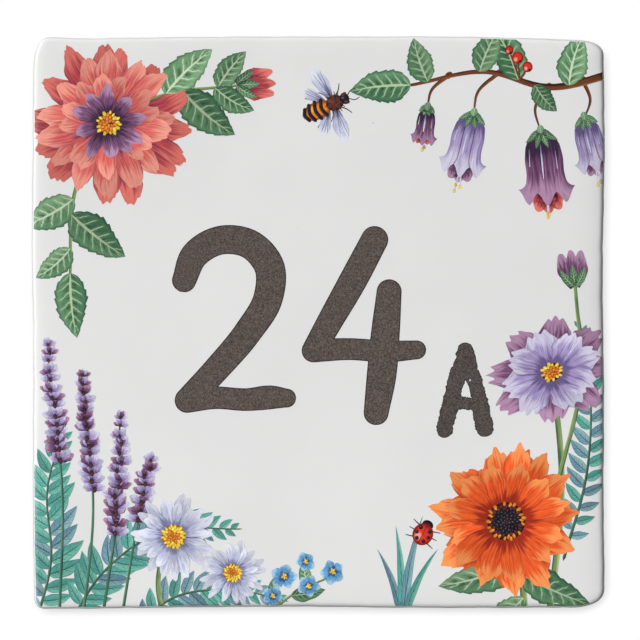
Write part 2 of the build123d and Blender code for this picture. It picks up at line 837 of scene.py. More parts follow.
@dataclass(frozen=True)
class NumberInk(Finish):
    """The number's screen-printed ink: a warm dark grey with light and dark grains and a few pinholes."""

    body: Colour
    light: Colour
    dark: Colour
    pinholes: float = 0.0
    speckle: float = 0.9
    warm: Colour = srgb(106, 82, 78)
    glaze: Colour = srgb(226, 226, 224)

    def apply(self, coat: Coat) -> None:
        """Peppers the ink with light and dark grains, warms it in clouds and opens the pinholes.

        Args:
            coat: The new material.
        """
        place = coat.place()
        pepper = coat.noise(place, 2700, 3, 0.8)
        warmth = coat.noise(place, 900, 2, 0.6)
        colour = coat.mix(pepper.step(0.47, 0.66, 0, self.speckle), self.body, self.light)
        colour = coat.mix(pepper.step(0.53, 0.36, 0, self.speckle), colour, self.dark)
        colour = coat.mix(warmth.step(0.45, 0.65, 0, 0.3), colour, self.warm)
        holes = self.pinholes * coat.flecks(300, rarity=0.82, inner=0.06, outer=0.1)["Fleck"]
        coat.dress(base_color=coat.mix(holes, colour, self.glaze))


@dataclass(frozen=True)
class GlazedClay(Finish):
    """White glaze on pale clay: glossy and a little uneven in front, thin and darker along the edges, bare
    behind.

    From a set depth behind the front on, it thins and darkens, partly as thin glaze and partly as painted
    shade on the steep rim, and it ends in runs at glaze_line before the back.
    """

    thickness: float
    white: Colour = (0.80, 0.80, 0.795)
    # Thin glaze over the clay, mixed in along the edges partly as painted shade on the steep rim.
    thin: Colour = srgb(168, 156, 146)
    speck: Colour = srgb(120, 116, 108)
    clay: Colour = srgb(222, 209, 191)
    clay_roughness: float = 0.92
    # Where and how much the edge darkens: thin glaze and painted shade together.
    thin_and_shade_depth: float = 1.85
    thin_and_shade_fade: float = 0.9
    thin_and_shade_share: float = 0.15
    glaze_line: float = 1.6
    line_fade: float = 0.25
    line_wander: float = 1.1
    run_length: float = 4.0
    bump_depth: float = 0.3

    def apply(self, coat: Coat) -> None:
        """Lays the glaze: pooled in clouds, thin and darker along the edge as thin glaze and painted shade,
        specked, and ended before the back.

        Args:
            coat: The new material.
        """
        place = coat.place()
        pooled = coat.noise(place, 26, 3, 0.55)
        colour = coat.mix(pooled.step(0.35, 0.65), self.white, self.darker(self.white, 0.975))
        edge = coat.parts("XYZ", place)[1] + self.line_wander * MM * (coat.noise(place, 90, 3, 0.6) - 0.5)
        # Darker behind the front: partly thin glaze, partly painted shade on the steep rim.
        thin_and_shade_start = (self.thin_and_shade_depth - self.thickness) * MM
        thin_glaze_and_shade = edge.step(thin_and_shade_start, thin_and_shade_start + self.thin_and_shade_fade * MM, 0, self.thin_and_shade_share)
        colour = coat.mix(thin_glaze_and_shade, colour, self.thin)
        speck = coat.flecks(62, rarity=0.6, inner=0.008, outer=0.02)["Fleck"]
        colour = coat.mix(0.4 * speck, colour, self.speck)
        hanging = edge + self.run_length * MM * (coat.noise(place, 48) - 0.5)
        bare = hanging.step(-self.glaze_line * MM, (self.line_fade - self.glaze_line) * MM)
        clay, dents = self._clay(coat, place)
        peel = coat.noise(place, 160)
        height = 0.05 * peel - 0.2 * speck + dents * bare
        bump = coat.signal("Bump", {"Strength": 0.5, "Distance": self.bump_depth * MM, "Height": height})
        rough = self.roughness + (self.clay_roughness - self.roughness) * bare
        coat.dress(base_color=coat.mix(bare, colour, clay), roughness=rough, normal=bump)

    def _clay(self, coat: Coat, place: Signal) -> tuple[Signal, Signal]:
        """The bare clay: fine grit, faint lines of the cutting wire, slow stains and a few pits, darkened as
        painted shade in their hollows.

        Args:
            coat: The new material.
            place: The place on the tile.

        Returns:
            Its colour, and its height as shares of the bump's depth.
        """
        grit = coat.noise(place, 950, 5, 0.75)
        stain = coat.noise(place, 30, 4, 0.55)
        drawn = coat.signal("VectorMath", {0: place, 1: (110, 110, 420)}, operation="MULTIPLY")
        wire = coat.noise(drawn, 1)
        pit = coat.flecks(130, rarity=0.7, inner=0.03, outer=0.08)["Other"]
        colour = self.clay
        for share, dark in (
            (stain.step(0.35, 0.68, 0, 0.45), 0.86),
            (wire.step(0.4, 0.7, 0, 0.1), 0.75),
            # The pits are darkened as painted shade in their hollows.
            (grit.step(0.5, 0.66, 0, 0.6), 0.66),
            (0.7 * pit, 0.4),
        ):
            colour = coat.mix(share, colour, self.darker(self.clay, dark))
        return colour, 0.2 * wire + 0.3 * grit - 0.6 * pit

    @staticmethod
    def darker(colour: Colour, share: float) -> Colour:
        """A colour darkened to a share of itself."""
        return tuple(share * part for part in colour)


class Paint(Enum):
    """The pots of enamel on the painter's bench."""

    CORAL = PetalEnamel(srgb(120, 62, 86), srgb(216, 98, 92), srgb(240, 160, 142), 9, 0.4, 0.42, 0.6)
    CORAL_DEEP = PetalEnamel(srgb(88, 46, 78), srgb(176, 66, 74), srgb(222, 120, 108), 9, 0.5, 0.35, 0.65)
    PLUM = PetalEnamel(srgb(60, 40, 66), srgb(118, 76, 112), srgb(186, 146, 178), 8, 0.45, 0.4, 0.65)
    LILAC = PetalEnamel(srgb(104, 88, 136), srgb(164, 148, 194), srgb(216, 212, 232), 8, 0.35, 0.5, 0.6)
    MIST = PetalEnamel(srgb(122, 124, 160), srgb(186, 190, 216), srgb(228, 230, 240), 6, 0.35, 0.5, 0.55)
    FLAME = PetalEnamel(srgb(158, 44, 30), srgb(236, 92, 42), srgb(250, 158, 92), 8, 0.35, 0.35, 0.55)
    EMBER = PetalEnamel(srgb(120, 30, 26), srgb(196, 62, 30), srgb(232, 112, 56), 8, 0.4, 0.35, 0.6)
    SKY = PetalEnamel(srgb(50, 92, 148), srgb(98, 160, 206), srgb(176, 212, 232), 5, 0.35, 0.4, 0.5)
    LEAF = LeafEnamel(srgb(38, 66, 48), srgb(82, 130, 92), srgb(128, 168, 126), srgb(198, 214, 184), 6)
    LEAF_DEEP = LeafEnamel(srgb(30, 50, 40), srgb(60, 104, 76), srgb(98, 142, 104), srgb(178, 198, 160), 7)
    TEAL = LeafEnamel(srgb(30, 88, 92), srgb(64, 146, 138), srgb(120, 190, 172), srgb(36, 84, 84), 5, 0.5)
    SLATE = LeafEnamel(srgb(48, 82, 110), srgb(84, 130, 152), srgb(140, 178, 182), srgb(40, 66, 88), 5, 0.5)
    STEM = StemEnamel(srgb(70, 96, 66), srgb(124, 150, 96), srgb(178, 194, 134))
    STEM_DARK = StemEnamel(srgb(38, 66, 56), srgb(72, 112, 92), srgb(120, 154, 124))
    TWIG = StemEnamel(srgb(58, 32, 24), srgb(112, 66, 44), srgb(158, 104, 72))
    INK = StemEnamel(srgb(26, 22, 26), srgb(42, 36, 40), srgb(78, 70, 74))
    YELLOW = SpotEnamel(srgb(206, 156, 36), srgb(240, 214, 74), srgb(252, 240, 160), 0.6)
    ORANGE = SpotEnamel(srgb(150, 66, 20), srgb(222, 128, 40), srgb(250, 196, 110), 0.5)
    UMBER = SpotEnamel(srgb(38, 22, 28), srgb(86, 46, 44), srgb(140, 92, 78), 0.4)
    SCARLET = SpotEnamel(srgb(132, 24, 24), srgb(214, 56, 40), srgb(248, 176, 150), 0.8)
    SOOT = SpotEnamel(srgb(18, 16, 20), srgb(36, 32, 38), srgb(120, 120, 136), 0.5)
    PEARL = SpotEnamel(srgb(176, 172, 200), srgb(222, 220, 234), srgb(244, 244, 248), 0.5)
    NUMBER = NumberInk(srgb(87, 80, 76), srgb(120, 112, 104), srgb(54, 49, 48))
    NUMBER_RIM = NumberInk(srgb(40, 36, 35), srgb(54, 49, 47), srgb(34, 30, 30))
    SUFFIX = NumberInk(srgb(79, 74, 71), srgb(110, 104, 98), srgb(48, 44, 43), pinholes=1)

    def material(self, effects: Effects) -> Material:
        """The pot's material, made when it is first asked for."""
        name = "enamel_" + self.name.lower()
        return bpy.data.materials.get(name) or self.value.material(name, effects)


# The tile


class Side(Enum):
    """The tile's four cut sides, anticlockwise."""

    BOTTOM = 0
    RIGHT = 1
    TOP = 2
    LEFT = 3

    @property
    def sign(self) -> int:
        """1 for the sides right and above, and -1 for the others."""
        return 1 if self in (Side.RIGHT, Side.TOP) else -1


CORNERS = (
    (Side.LEFT, Side.BOTTOM),
    (Side.RIGHT, Side.BOTTOM),
    (Side.RIGHT, Side.TOP),
    (Side.LEFT, Side.TOP),
)


@dataclass(frozen=True)
class TileForm:
    """The tile's shape, as the clay was cut, pressed and glazed.

    Sides go round from the bottom one, and corners from the bottom left one. A side's offsets say how far
    it stands out of a true square, from the left or from below. A corner's runs are what its wiping takes
    off the top or bottom, and off the side. The rim has its slopes at shares of the way out. A wave is given
    by size, number and phase, a wave of the glaze by size and two sines to multiply, each by turns across,
    turns up and phase, and a bump by place, radius and rise.
    """

    width: float = 150.0
    height: float = 150.0
    thickness: float = 9.0
    face_crown: float = 0.4
    rim_reach: float = 9.0
    rim_ways: Numbers = (0, 0.325, 0.539, 0.679, 0.728, 0.783, 0.823, 1)
    rim_slopes: Numbers = (0, 1.2, 3.7, 7.5, 15, 44, 67, 90)
    rim_steps: int = 600
    rim_unevenness: float = 0.06
    rim_waves: Rows = ((1, 3, 0.6), (0.7, 7, 2), (0.6, 19, 0))
    rim_lean: float = 0.25
    lean_angle: float = -45.0
    back_edge_radius: float = 0.6
    side_offsets: Rows = (
        (0.1, 0.05, -0.14, -0.28, -0.38, -0.4, -0.2, -0.12, -0.1, -0.14, -0.2),
        (0, -0.09, -0.28, -0.16, -0.15, -0.38, -0.48, -0.25, 0.02, -0.12, -0.3),
        (-0.15, -0.62, -0.38, -0.22, -0.12, -0.14, -0.13, -0.11, -0.26, -0.68, -1.1),
        (-0.5, -0.2, -0.06, -0.14, -0.24, -0.2, 0.12, 0.14, -0.06, -0.12, -0.45),
    )
    side_steps: int = 300
    corner_runs: Rows = ((3, 3.2), (9, 5.2), (8, 4), (3.8, 9))
    corner_steps: int = 24
    edge_wave: float = 0.035
    edge_waves: Rows = ((1, 9.7, 1), (0.7, 22.3, 2.3))
    nick_count: int = 5
    nick_width: float = 0.9
    nick_depth: float = 0.1
    glaze_wave: float = 0.05
    glaze_waves: tuple[tuple[float, Numbers, Numbers], ...] = (
        (1, (0.083, 0.061, 0.5), (0.047, -0.092, 1.7)),
        (0.35, (0.19, -0.11, 0), (0.13, 0.21, 0.8)),
    )
    bumps: Rows = ((5.3, 49.3, 1.1, 0.05), (25, 34.6, 1.5, 0.035))
    print_margin: float = 0.55
    bend_reach: float = 3.4
    bend_step: float = 0.4
    shoulder_step: float = 0.8
    cut_steps: int = 4

    @cached_property
    def side_lines(self) -> list[Array]:
        """A smooth line through each side's offsets.

        Returns:
            Places along each side and the offsets there.
        """
        half, rows = self.width / 2, self.side_offsets
        courses = (np.column_stack([np.linspace(-half, half, len(row)), row]) for row in rows)
        return [smooth_path(course, self.side_steps + 1) for course in courses]

    def cut(self, side: Side, along: Array) -> Array:
        """How far a side stands out of a true square.

        Args:
            side: Which side.
            along: Places along it.

        Returns:
            Its smooth line, with short sine waves and a few small nicks a golden angle apart.
        """
        along = np.asarray(along, float)
        phase = 0.4 + 1.7 * side.value
        turns = math.tau * along / self.width
        waves = sum(size * np.sin(count * turns + shift * phase) for size, count, shift in self.edge_waves)
        number = np.arange(self.nick_count)
        nicks = self.width * ((phase + GOLDEN_ANGLE / math.tau * number) % 1 - 0.5)
        depth = self.nick_depth * (0.4 + 0.6 * number / self.nick_count)
        away = (along[..., None] - nicks) / self.nick_width
        places, offsets = self.side_lines[side.value].T
        nicked = (depth * np.exp(-away * away)).sum(-1)
        return np.interp(along, places, offsets) + self.edge_wave * waves - nicked

    def reach(self, side: Side, along: Array) -> Array:
        """How far a side lies from the tile's middle."""
        return (self.height, self.width)[side.value % 2] / 2 + self.cut(side, along)

    @cached_property
    def corner_curves(self) -> tuple[Array, Array]:
        """The wiped corners, by distances in from the side and in from the top or bottom.

        At a share of the way to the side, a curve lies across times the square of (1 - share) in from the
        side, and up times the square of share in from the top or bottom.

        Returns:
            Places on each curve and the way inwards at each, corners by steps by two.
        """
        across, up = np.asarray(self.corner_runs).T[..., None]
        step = np.linspace(0, 1, self.corner_steps + 1)
        sine, cosine = np.sin(0.5 * math.pi * step), np.cos(0.5 * math.pi * step)
        share = 0.5 * (step + across * sine / (up * cosine + across * sine))
        places = np.stack([across * (1 - share) ** 2, up * share**2], -1)
        inward = np.stack([up * share, across * (1 - share)], -1)
        return places, inward / np.linalg.norm(inward, axis=-1, keepdims=True)

    def edge(self, x: Array, z: Array) -> tuple[Array, Array, Array]:
        """How far places lie inside the outline: the least distance to their corner's tangents.

        Args:
            x, z: Places across and up the tile.

        Returns:
            The distance, and the two parts of the way out to the nearest edge.
        """
        number = np.where(z > 0, np.where(x > 0, 2, 3), np.where(x > 0, 1, 0))
        in_x = np.where(x > 0, self.reach(Side.RIGHT, z) - x, self.reach(Side.LEFT, z) + x)
        in_z = np.where(z > 0, self.reach(Side.TOP, x) - z, self.reach(Side.BOTTOM, x) + z)
        places, inward = (part[number] for part in self.corner_curves)
        gaps = ((np.stack([in_x, in_z], -1)[..., None, :] - places) * inward).sum(-1)
        nearest = gaps.argmin(-1)[..., None]
        distance = np.take_along_axis(gaps, nearest, -1)[..., 0]
        way = np.take_along_axis(inward, nearest[..., None], -2)[..., 0, :]
        return distance, np.sign(x) * way[..., 0], np.sign(z) * way[..., 1]

    @cached_property
    def rim_profile(self) -> tuple[Array, Array]:
        """The shoulder and the rounded edge: the slope goes evenly from one given slope to the next.

        Returns:
            Distances in from the outline and depths below the face, from the face outwards.
        """
        shares = np.linspace(0, 1, self.rim_steps + 1)
        slope = np.radians(np.interp(shares, self.rim_ways, self.rim_slopes))
        run, fall = (
            np.concatenate([[0], np.cumsum(part[1:] + part[:-1])]) for part in (np.cos(slope), np.sin(slope))
        )
        return self.rim_reach / run[-1] * (run[-1] - run), self.rim_reach / run[-1] * fall

    @cached_property
    def widest_rim(self) -> float:
        """The most that the shoulder can reach in from the outline."""
        waves = sum(size for size, *_ in self.rim_waves)
        return self.rim_reach * (1 + self.rim_unevenness * waves + self.rim_lean)

    def drop(self, distance: Union[Array, float], x: Array, z: Array) -> Array:
        """How far the rounded edge lies below the face, as the wiping hand left it.

        Args:
            distance: How far inside the outline each place lies.
            x, z: Places across and up the tile.

        Returns:
            The rim's fall, larger the way it leans, with slow waves round the rim.
        """
        turn = np.arctan2(z, x)
        waves = sum(size * np.sin(count * turn + phase) for size, count, phase in self.rim_waves)
        lean = self.rim_lean * np.cos(turn - math.radians(self.lean_angle))
        scale = 1 + self.rim_unevenness * waves + lean
        inset, fall = self.rim_profile
        return scale * np.interp(distance / scale, inset[::-1], fall[::-1])

    def face(self, x: Array, z: Array) -> Array:
        """Depth of the face without its rounded edge: a shallow dome with slow waves and small bumps.

        Args:
            x, z: Places across and up the tile.

        Returns:
            The depth, negative to the front.
        """
        reach = (self.width**2 + self.height**2) / 4
        depth = -self.thickness + self.face_crown * (x * x + z * z) / reach
        for size, first, second in self.glaze_waves:
            sines = (np.sin(across * x + up * z + phase) for across, up, phase in (first, second))
            depth = depth + self.glaze_wave * size * math.prod(sines)
        for across, up, radius, rise in self.bumps:
            depth = depth - rise * np.exp(-((x - across) ** 2 + (z - up) ** 2) / radius**2)
        return depth

    def lay(self, places: Array, lift: float) -> Array:
        """Lays a flat drawing on the glaze, cut off just short of the tile's edge.

        Args:
            places: Its places, with x and z last.
            lift: How far over the glaze they lie.

        Returns:
            Places on the tile, in metres.
        """
        x, z = places[..., 0], places[..., 1]
        distance, out_x, out_z = self.edge(x, z)
        back = np.maximum(self.print_margin - distance, 0)
        x, z = x - back * out_x, z - back * out_z
        return np.stack([x, self.face(x, z) + self.drop(distance + back, x, z) - lift, z], -1) * MM

    def trim(self, places: Array) -> tuple[Array, Array, Array]:
        """Cuts a flat stroke off where it leaves the print, and adds places where it bends over the edge.

        Args:
            places: The stroke, along by across by two.

        Returns:
            New places, and how far along and across the stroke each lies, from 0 to 1.
        """
        rows, columns = places.shape[:2]
        walked = way_along(places[:, columns // 2])
        ranks, way = np.linspace(0, 1, rows), walked / walked[-1]
        nearest = self.edge(places[..., 0], places[..., 1])[0].min()
        if nearest > self.widest_rim:
            along, across = grid_shares(rows, columns)
            return places, np.interp(along, ranks, way), across
        step = self.bend_step if nearest < self.bend_reach else self.shoulder_step
        counts = [max(old, math.ceil(run / step) + 1) for old, run in zip((rows, columns), spread(places))]
        cuts = [self._cut(places, counts, axis) for axis in (0, 1)]
        _, along, across = min(cuts, key=lambda cut: cut[0])
        return between(places, along, across), np.interp(along, ranks, way), across

    def _cut(self, places: Array, counts: Sequence[int], axis: int) -> tuple[float, Array, Array]:
        """Cuts a stroke off line by line: each keeps its run inside the print, spread out evenly.

        Args:
            places: The stroke, along by across by two.
            counts: Places to give along and across.
            axis: 0 for lines along the stroke, 1 for lines across it.

        Returns:
            The share of lines broken or lost, and the new places' shares along and across.
        """
        fine = [count * (self.cut_steps if number == axis else 1) for number, count in enumerate(counts)]
        distance = self.edge(*np.moveaxis(between(places, *grid_shares(*fine)), -1, 0))[0]
        distance = np.moveaxis(distance, axis, 0)
        inside, best = distance >= self.print_margin, distance.argmax(0)
        rank, kept = np.arange(fine[axis])[:, None], inside.any(0)
        broken = inside[0] + (inside[1:] & ~inside[:-1]).sum(0) > 1
        first = np.where(~inside & (rank < best), rank, -1).max(0) + 1
        last = np.where(~inside & (rank > best), rank, fine[axis]).min(0) - 1
        share = np.linspace(0, 1, counts[axis])[:, None]
        cut = ((first + (last - first) * share) / (fine[axis] - 1))[:, kept]
        lines = np.broadcast_to(np.linspace(0, 1, counts[1 - axis])[kept], cut.shape)
        fault = float(broken.mean() + (~kept).mean()) if kept.sum() > 1 else math.inf
        return (fault, cut, lines) if axis == 0 else (fault, lines.T, cut.T)


@dataclass
class Tile:
    """The glazed tile itself: a square grid for its face and one for its back, joined by a rim of rings."""

    form: TileForm
    side_steps: int = 156
    rim_rings: int = 18
    ring_reach: float = 2.0
    wall_rings: int = 6
    back_rings: int = 5
    outline_tries: int = 3

    def outline(self, inset: float) -> Array:
        """The cut outline drawn in by inset, anticlockwise from the middle of the bottom left corner.

        Args:
            inset: How far inside the cut side it runs.

        Returns:
            Its places: a curve for each corner, and a line along each side.
        """
        form, corners, runs = self.form, [], []
        places, inward = form.corner_curves
        part = np.linspace(0, 1, self.side_steps, endpoint=False)[:, None]
        for number, (across, up) in enumerate(CORNERS):
            in_x, in_z = (places[number] + inset * inward[number]).T
            x, z = across.sign * (form.width / 2 - in_x), up.sign * (form.height / 2 - in_z)
            for _ in range(self.outline_tries):
                x, z = across.sign * (form.reach(across, z) - in_x), up.sign * (form.reach(up, x) - in_z)
            corners.append(np.stack([x, z], -1)[:: 1 if number % 2 else -1])
        for side, corner, following in zip(Side, corners, corners[1:] + corners[:1]):
            run = corner[-1] + (following[0] - corner[-1]) * part
            along = side.value % 2
            run[:, 1 - along] = side.sign * (form.reach(side, run[:, along]) - inset)
            runs += [corner[:-1], run]
        return np.roll(np.concatenate(runs), -form.corner_steps // 2, axis=0)

    @staticmethod
    def patch(loop: Array) -> Array:
        """Fills a loop of four equal sides: both ways of ruling it straight, less its corners' share.

        Args:
            loop: Places once round, from a corner on.

        Returns:
            A square grid of places, one row each.
        """
        count = len(loop) // 4
        closed = np.concatenate([loop, loop[:1]])
        low, right = closed[: count + 1], closed[count : 2 * count + 1]
        high, left = closed[2 * count : 3 * count + 1][::-1], closed[3 * count :][::-1]
        u, v = (share[..., None] for share in grid_shares(count + 1, count + 1))
        ruled = (1 - v) * low[:, None] + v * high[:, None] + (1 - u) * left[None] + u * right[None]
        corners = (1 - v) * ((1 - u) * low[0] + u * low[-1]) + v * ((1 - u) * high[0] + u * high[-1])
        return (ruled - corners).reshape(-1, 2)

    def build(self) -> Object:
        """Builds the closed tile: its face, its rounded edge, its side, the edge of its back, and its back.

        Returns:
            The piece.
        """
        form, loop = self.form, self.outline(0)
        x, z = self.patch(self.outline(self.ring_reach)).T
        layers = [np.stack([x, form.face(x, z) + form.drop(form.edge(x, z)[0], x, z), z], -1)]
        insets = form.rim_profile[0]
        first = int(np.argmax(insets < self.ring_reach))
        ranks = np.linspace(first, len(insets) - 1, self.rim_rings + 1).round().astype(int)
        for inset in insets[ranks[1:]]:
            x, z = self.outline(inset).T
            layers.append(np.stack([x, form.face(x, z) + form.drop(inset, x, z), z], -1))
        lip, foot = layers[-1][:, 1], -form.back_edge_radius
        for share in np.linspace(0, 1, self.wall_rings + 1)[1:]:
            layers.append(np.stack([loop[:, 0], lip + (foot - lip) * share, loop[:, 1]], -1))
        for turn in np.linspace(0, 0.5 * math.pi, self.back_rings + 1)[1:-1]:
            x, z = self.outline(form.back_edge_radius * (1 - math.cos(turn))).T
            layers.append(np.stack([x, np.full(len(x), foot * (1 - math.sin(turn))), z], -1))
        x, z = self.patch(self.outline(form.back_edge_radius)).T
        layers.append(np.stack([x, np.zeros(len(x)), z], -1))
        quads = self._faces(len(loop) // 4 + 1, len(layers) - 2)
        piece = placed("glazed_tile", quad_mesh("glazed_tile", np.concatenate(layers) * MM, quads))
        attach(piece, "root")
        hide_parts("tile")
        return piece

    @staticmethod
    def _faces(wide: int, ring_count: int) -> Array:
        """Vertex numbers of every face: the front grid, the rings of the rim and the back grid.

        Args:
            wide: Places along each side of a grid.
            ring_count: Rings between the two grids.

        Returns:
            A row of four for each face.
        """
        cells, border = grid_faces(wide, wide)
        rim_start = wide * wide
        rims = rim_start + np.arange(ring_count * len(border)).reshape(ring_count, -1)
        rear_start = rim_start + rims.size
        chain = np.concatenate([border[None], rims, rear_start + border[None]])
        after = np.roll(chain, -1, axis=1)
        rim = np.stack([chain[:-1], chain[1:], after[1:], after[:-1]], -1).reshape(-1, 4)
        return np.concatenate([cells, rim, rear_start + cells[:, ::-1]])

    def dress(self, piece: Object, effects: Effects) -> None:
        """Glazes the tile."""
        piece.data.materials.append(GlazedClay(self.form.thickness).material("white_glaze", effects))


# Printed enamel


@dataclass
class Stroke:
    """One brush stroke, flat: its places, where each lies along and across it, its paint and its height."""

    places: Array
    along: Array
    across: Array
    paint: Paint
    tone: float
    seed: float
    lift: float = 0.0


@dataclass
class LayerMap:
    """How many films of enamel lie on each small square of the tile so far."""

    reach: float = 80.0
    cell: float = 0.4

    def __post_init__(self) -> None:
        """Starts with a bare tile."""
        count = math.ceil(2 * self.reach / self.cell)
        self.films = np.zeros((count, count), int)

    def lay(self, strokes: list[Stroke]) -> int:
        """Lays strokes side by side over all that they cover.

        Args:
            strokes: The strokes of one layer.

        Returns:
            How many films lie there now.
        """
        spots = []
        for stroke in strokes:
            counts = (math.ceil(2 * way / self.cell) + 2 for way in spread(stroke.places))
            spots.append(between(stroke.places, *grid_shares(*counts)).reshape(-1, 2))
        squares = ((np.concatenate(spots) + self.reach) / self.cell).astype(int).clip(0, len(self.films) - 1)
        level = int(self.films[tuple(squares.T)].max()) + 1
        self.films[tuple(squares.T)] = level
        return level


@dataclass
class PrintedPiece:
    """One printed motif: thin films of enamel, laid over each other in the order of painting."""

    name: str
    form: TileForm
    layers: LayerMap
    seed: int
    ground: float = 0.02
    layer: float = 0.0025
    film_floor: float = -0.03
    crease: float = 40.0
    bake_gap: float = 0.25
    bake_spare: float = 1.05
    bake_growth: float = 1.03
    wet: list[Stroke] = field(default_factory=list)
    strokes: list[Stroke] = field(default_factory=list)

    def __post_init__(self) -> None:
        """Starts the motif's own run of chance numbers."""
        self.rng = np.random.default_rng(self.seed)

    def rise(self) -> None:
        """Lets the strokes painted so far dry as one layer, so that the next ones lie over them."""
        if self.wet:
            level = self.layers.lay(self.wet)
            for stroke in self.wet:
                stroke.lift = self.ground + self.layer * level
            self.strokes += self.wet
            self.wet = []

    def add(self, places: Array, paint: Paint, tone: float | None = None) -> None:
        """Paints one stroke on the present layer, unless it lies wholly outside the print.

        Args:
            places: The stroke, along by across by two.
            paint: What it is painted with.
            tone: How light it is, from 0 to 1, or none for a chance tone.
        """
        chance, light = self.rng.uniform(0, 1, 2)
        if self.form.edge(places[..., 0], places[..., 1])[0].max() > self.form.print_margin:
            self.wet.append(Stroke(*self.form.trim(places), paint, light if tone is None else tone, chance))

    def over(self, places: Array, paint: Paint, tone: float | None = None) -> None:
        """Starts a new layer with one stroke."""
        self.rise()
        self.add(places, paint, tone)

    @staticmethod
    def film_faces(along: int, across: int) -> Array:
        """Vertex numbers of a closed film: a top grid, the same below, and a wall round both.

        Args:
            along: Places along the stroke.
            across: Places across it.

        Returns:
            A row of four for each face.
        """
        top, rim = grid_faces(along, across)
        after, below = np.roll(rim, -1), along * across
        wall = np.stack([rim, rim + below, after + below, after], -1)
        return np.concatenate([top, top[:, ::-1] + below, wall])

    def bake_cells(self) -> Array:
        """A cell of the bake's picture for each stroke, at one scale, in rows, the widest first.

        Returns:
            Each cell's lower left corner, length and width, as shares of the picture.
        """
        sizes = np.array([spread(stroke.places) for stroke in self.strokes]) + self.bake_gap
        side = max(sizes[:, 0].max(), self.bake_spare * math.sqrt(sizes.prod(1).sum()))
        while True:
            corners, x, y, row = np.zeros_like(sizes), 0, 0, 0
            for number in np.argsort(-sizes[:, 1]):
                long, wide = sizes[number]
                if x + long > side:
                    x, y, row = 0, y + row, 0
                corners[number] = x, y
                x, row = x + long, max(row, wide)
            if y + row <= side:
                return np.concatenate([corners + self.bake_gap / 2, sizes - self.bake_gap], 1) / side
            side *= self.bake_growth

    def build(self) -> Object:
        """Builds the motif: a closed film for each stroke, with its two maps and its chance numbers.

        Returns:
            The piece.
        """
        self.rise()
        places, quads, shares, cells, chances, start = [], [], [], [], [], 0
        for stroke, (x, y, long, wide) in zip(self.strokes, self.bake_cells()):
            rows, columns = stroke.places.shape[:2]
            quads.append(self.film_faces(rows, columns) + start)
            start += 2 * rows * columns
            for lift in (stroke.lift, self.film_floor):
                places.append(self.form.lay(stroke.places, lift).reshape(-1, 3))
            shares += [np.stack([stroke.along, stroke.across], -1).reshape(-1, 2)] * 2
            u, v = grid_shares(rows, columns)
            cells += [np.stack([x + long * u, y + wide * v], -1).reshape(-1, 2)] * 2
            chances.append(np.tile([stroke.tone, stroke.seed], (2 * rows * columns, 1)))
        mesh = quad_mesh(self.name, np.concatenate(places), np.concatenate(quads))
        corners = np.empty(len(mesh.loops), np.int32)
        mesh.loops.foreach_get("vertex_index", corners)
        for layer, values in ((PAINT_MAP, shares), (BAKE_MAP, cells)):
            by_corner = np.concatenate(values)[corners].astype(np.float32)
            mesh.uv_layers.new(name=layer).uv.foreach_set("vector", by_corner.ravel())
        for name, values in zip(CHANCES, np.concatenate(chances).astype(np.float32).T):
            numbers = mesh.attributes.new(name, "FLOAT", "POINT").data
            numbers.foreach_set("value", np.ascontiguousarray(values))
        mesh.set_sharp_from_angle(angle=math.radians(self.crease))
        piece = placed(self.name, mesh)
        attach(piece, "root")
        return piece

    def dress(self, piece: Object, effects: Effects) -> None:
        """Gives each stroke its own enamel.

        Args:
            piece: The built motif.
            effects: The shared shader groups.
        """
        pots = list(dict.fromkeys(stroke.paint for stroke in self.strokes))
        for pot in pots:
            piece.data.materials.append(pot.material(effects))
        counts = [len(self.film_faces(*stroke.places.shape[:2])) for stroke in self.strokes]
        slots = np.repeat([pots.index(stroke.paint) for stroke in self.strokes], counts)
        piece.data.polygons.foreach_set("material_index", slots.astype(np.int32))


class Motif(Protocol):
    """Anything that can be painted on a printed piece."""

    def paint(self, sheet: PrintedPiece) -> None:
        """Paints the motif on a printed piece."""


@dataclass
class PetalRing:
    """One ring of a flower's petals."""

    count: int
    start: float
    length: float
    half_width: float
    paint: Paint
    root: float = 0.3
    blunt: float = 0.22
    frill: float = 0.03
    lobes: int = 0
    sway: float = 5.0
    turn: float = 0.0

    def petal(self, number: int, centre: Spot, rng: Rng) -> Array:
        """One of the ring's petals.

        Args:
            number: Which one, from 0.
            centre: The flower's middle.
            rng: Source of its unevenness.

        Returns:
            Its places, along by across by two.
        """
        angle = 360 * number / self.count + self.turn + rng.normal(0, self.sway)
        length, half_width = self.length * rng.uniform(0.88, 1.1), self.half_width * rng.uniform(0.88, 1.14)
        edge = (self.root, self.blunt, self.frill, self.lobes, rng.normal(0, 3 * self.sway))
        steps = (13, 15 if self.frill > 0.02 else 9)
        return petal(centre + self.start * pointing(angle), angle, length, half_width, rng, *edge, steps)


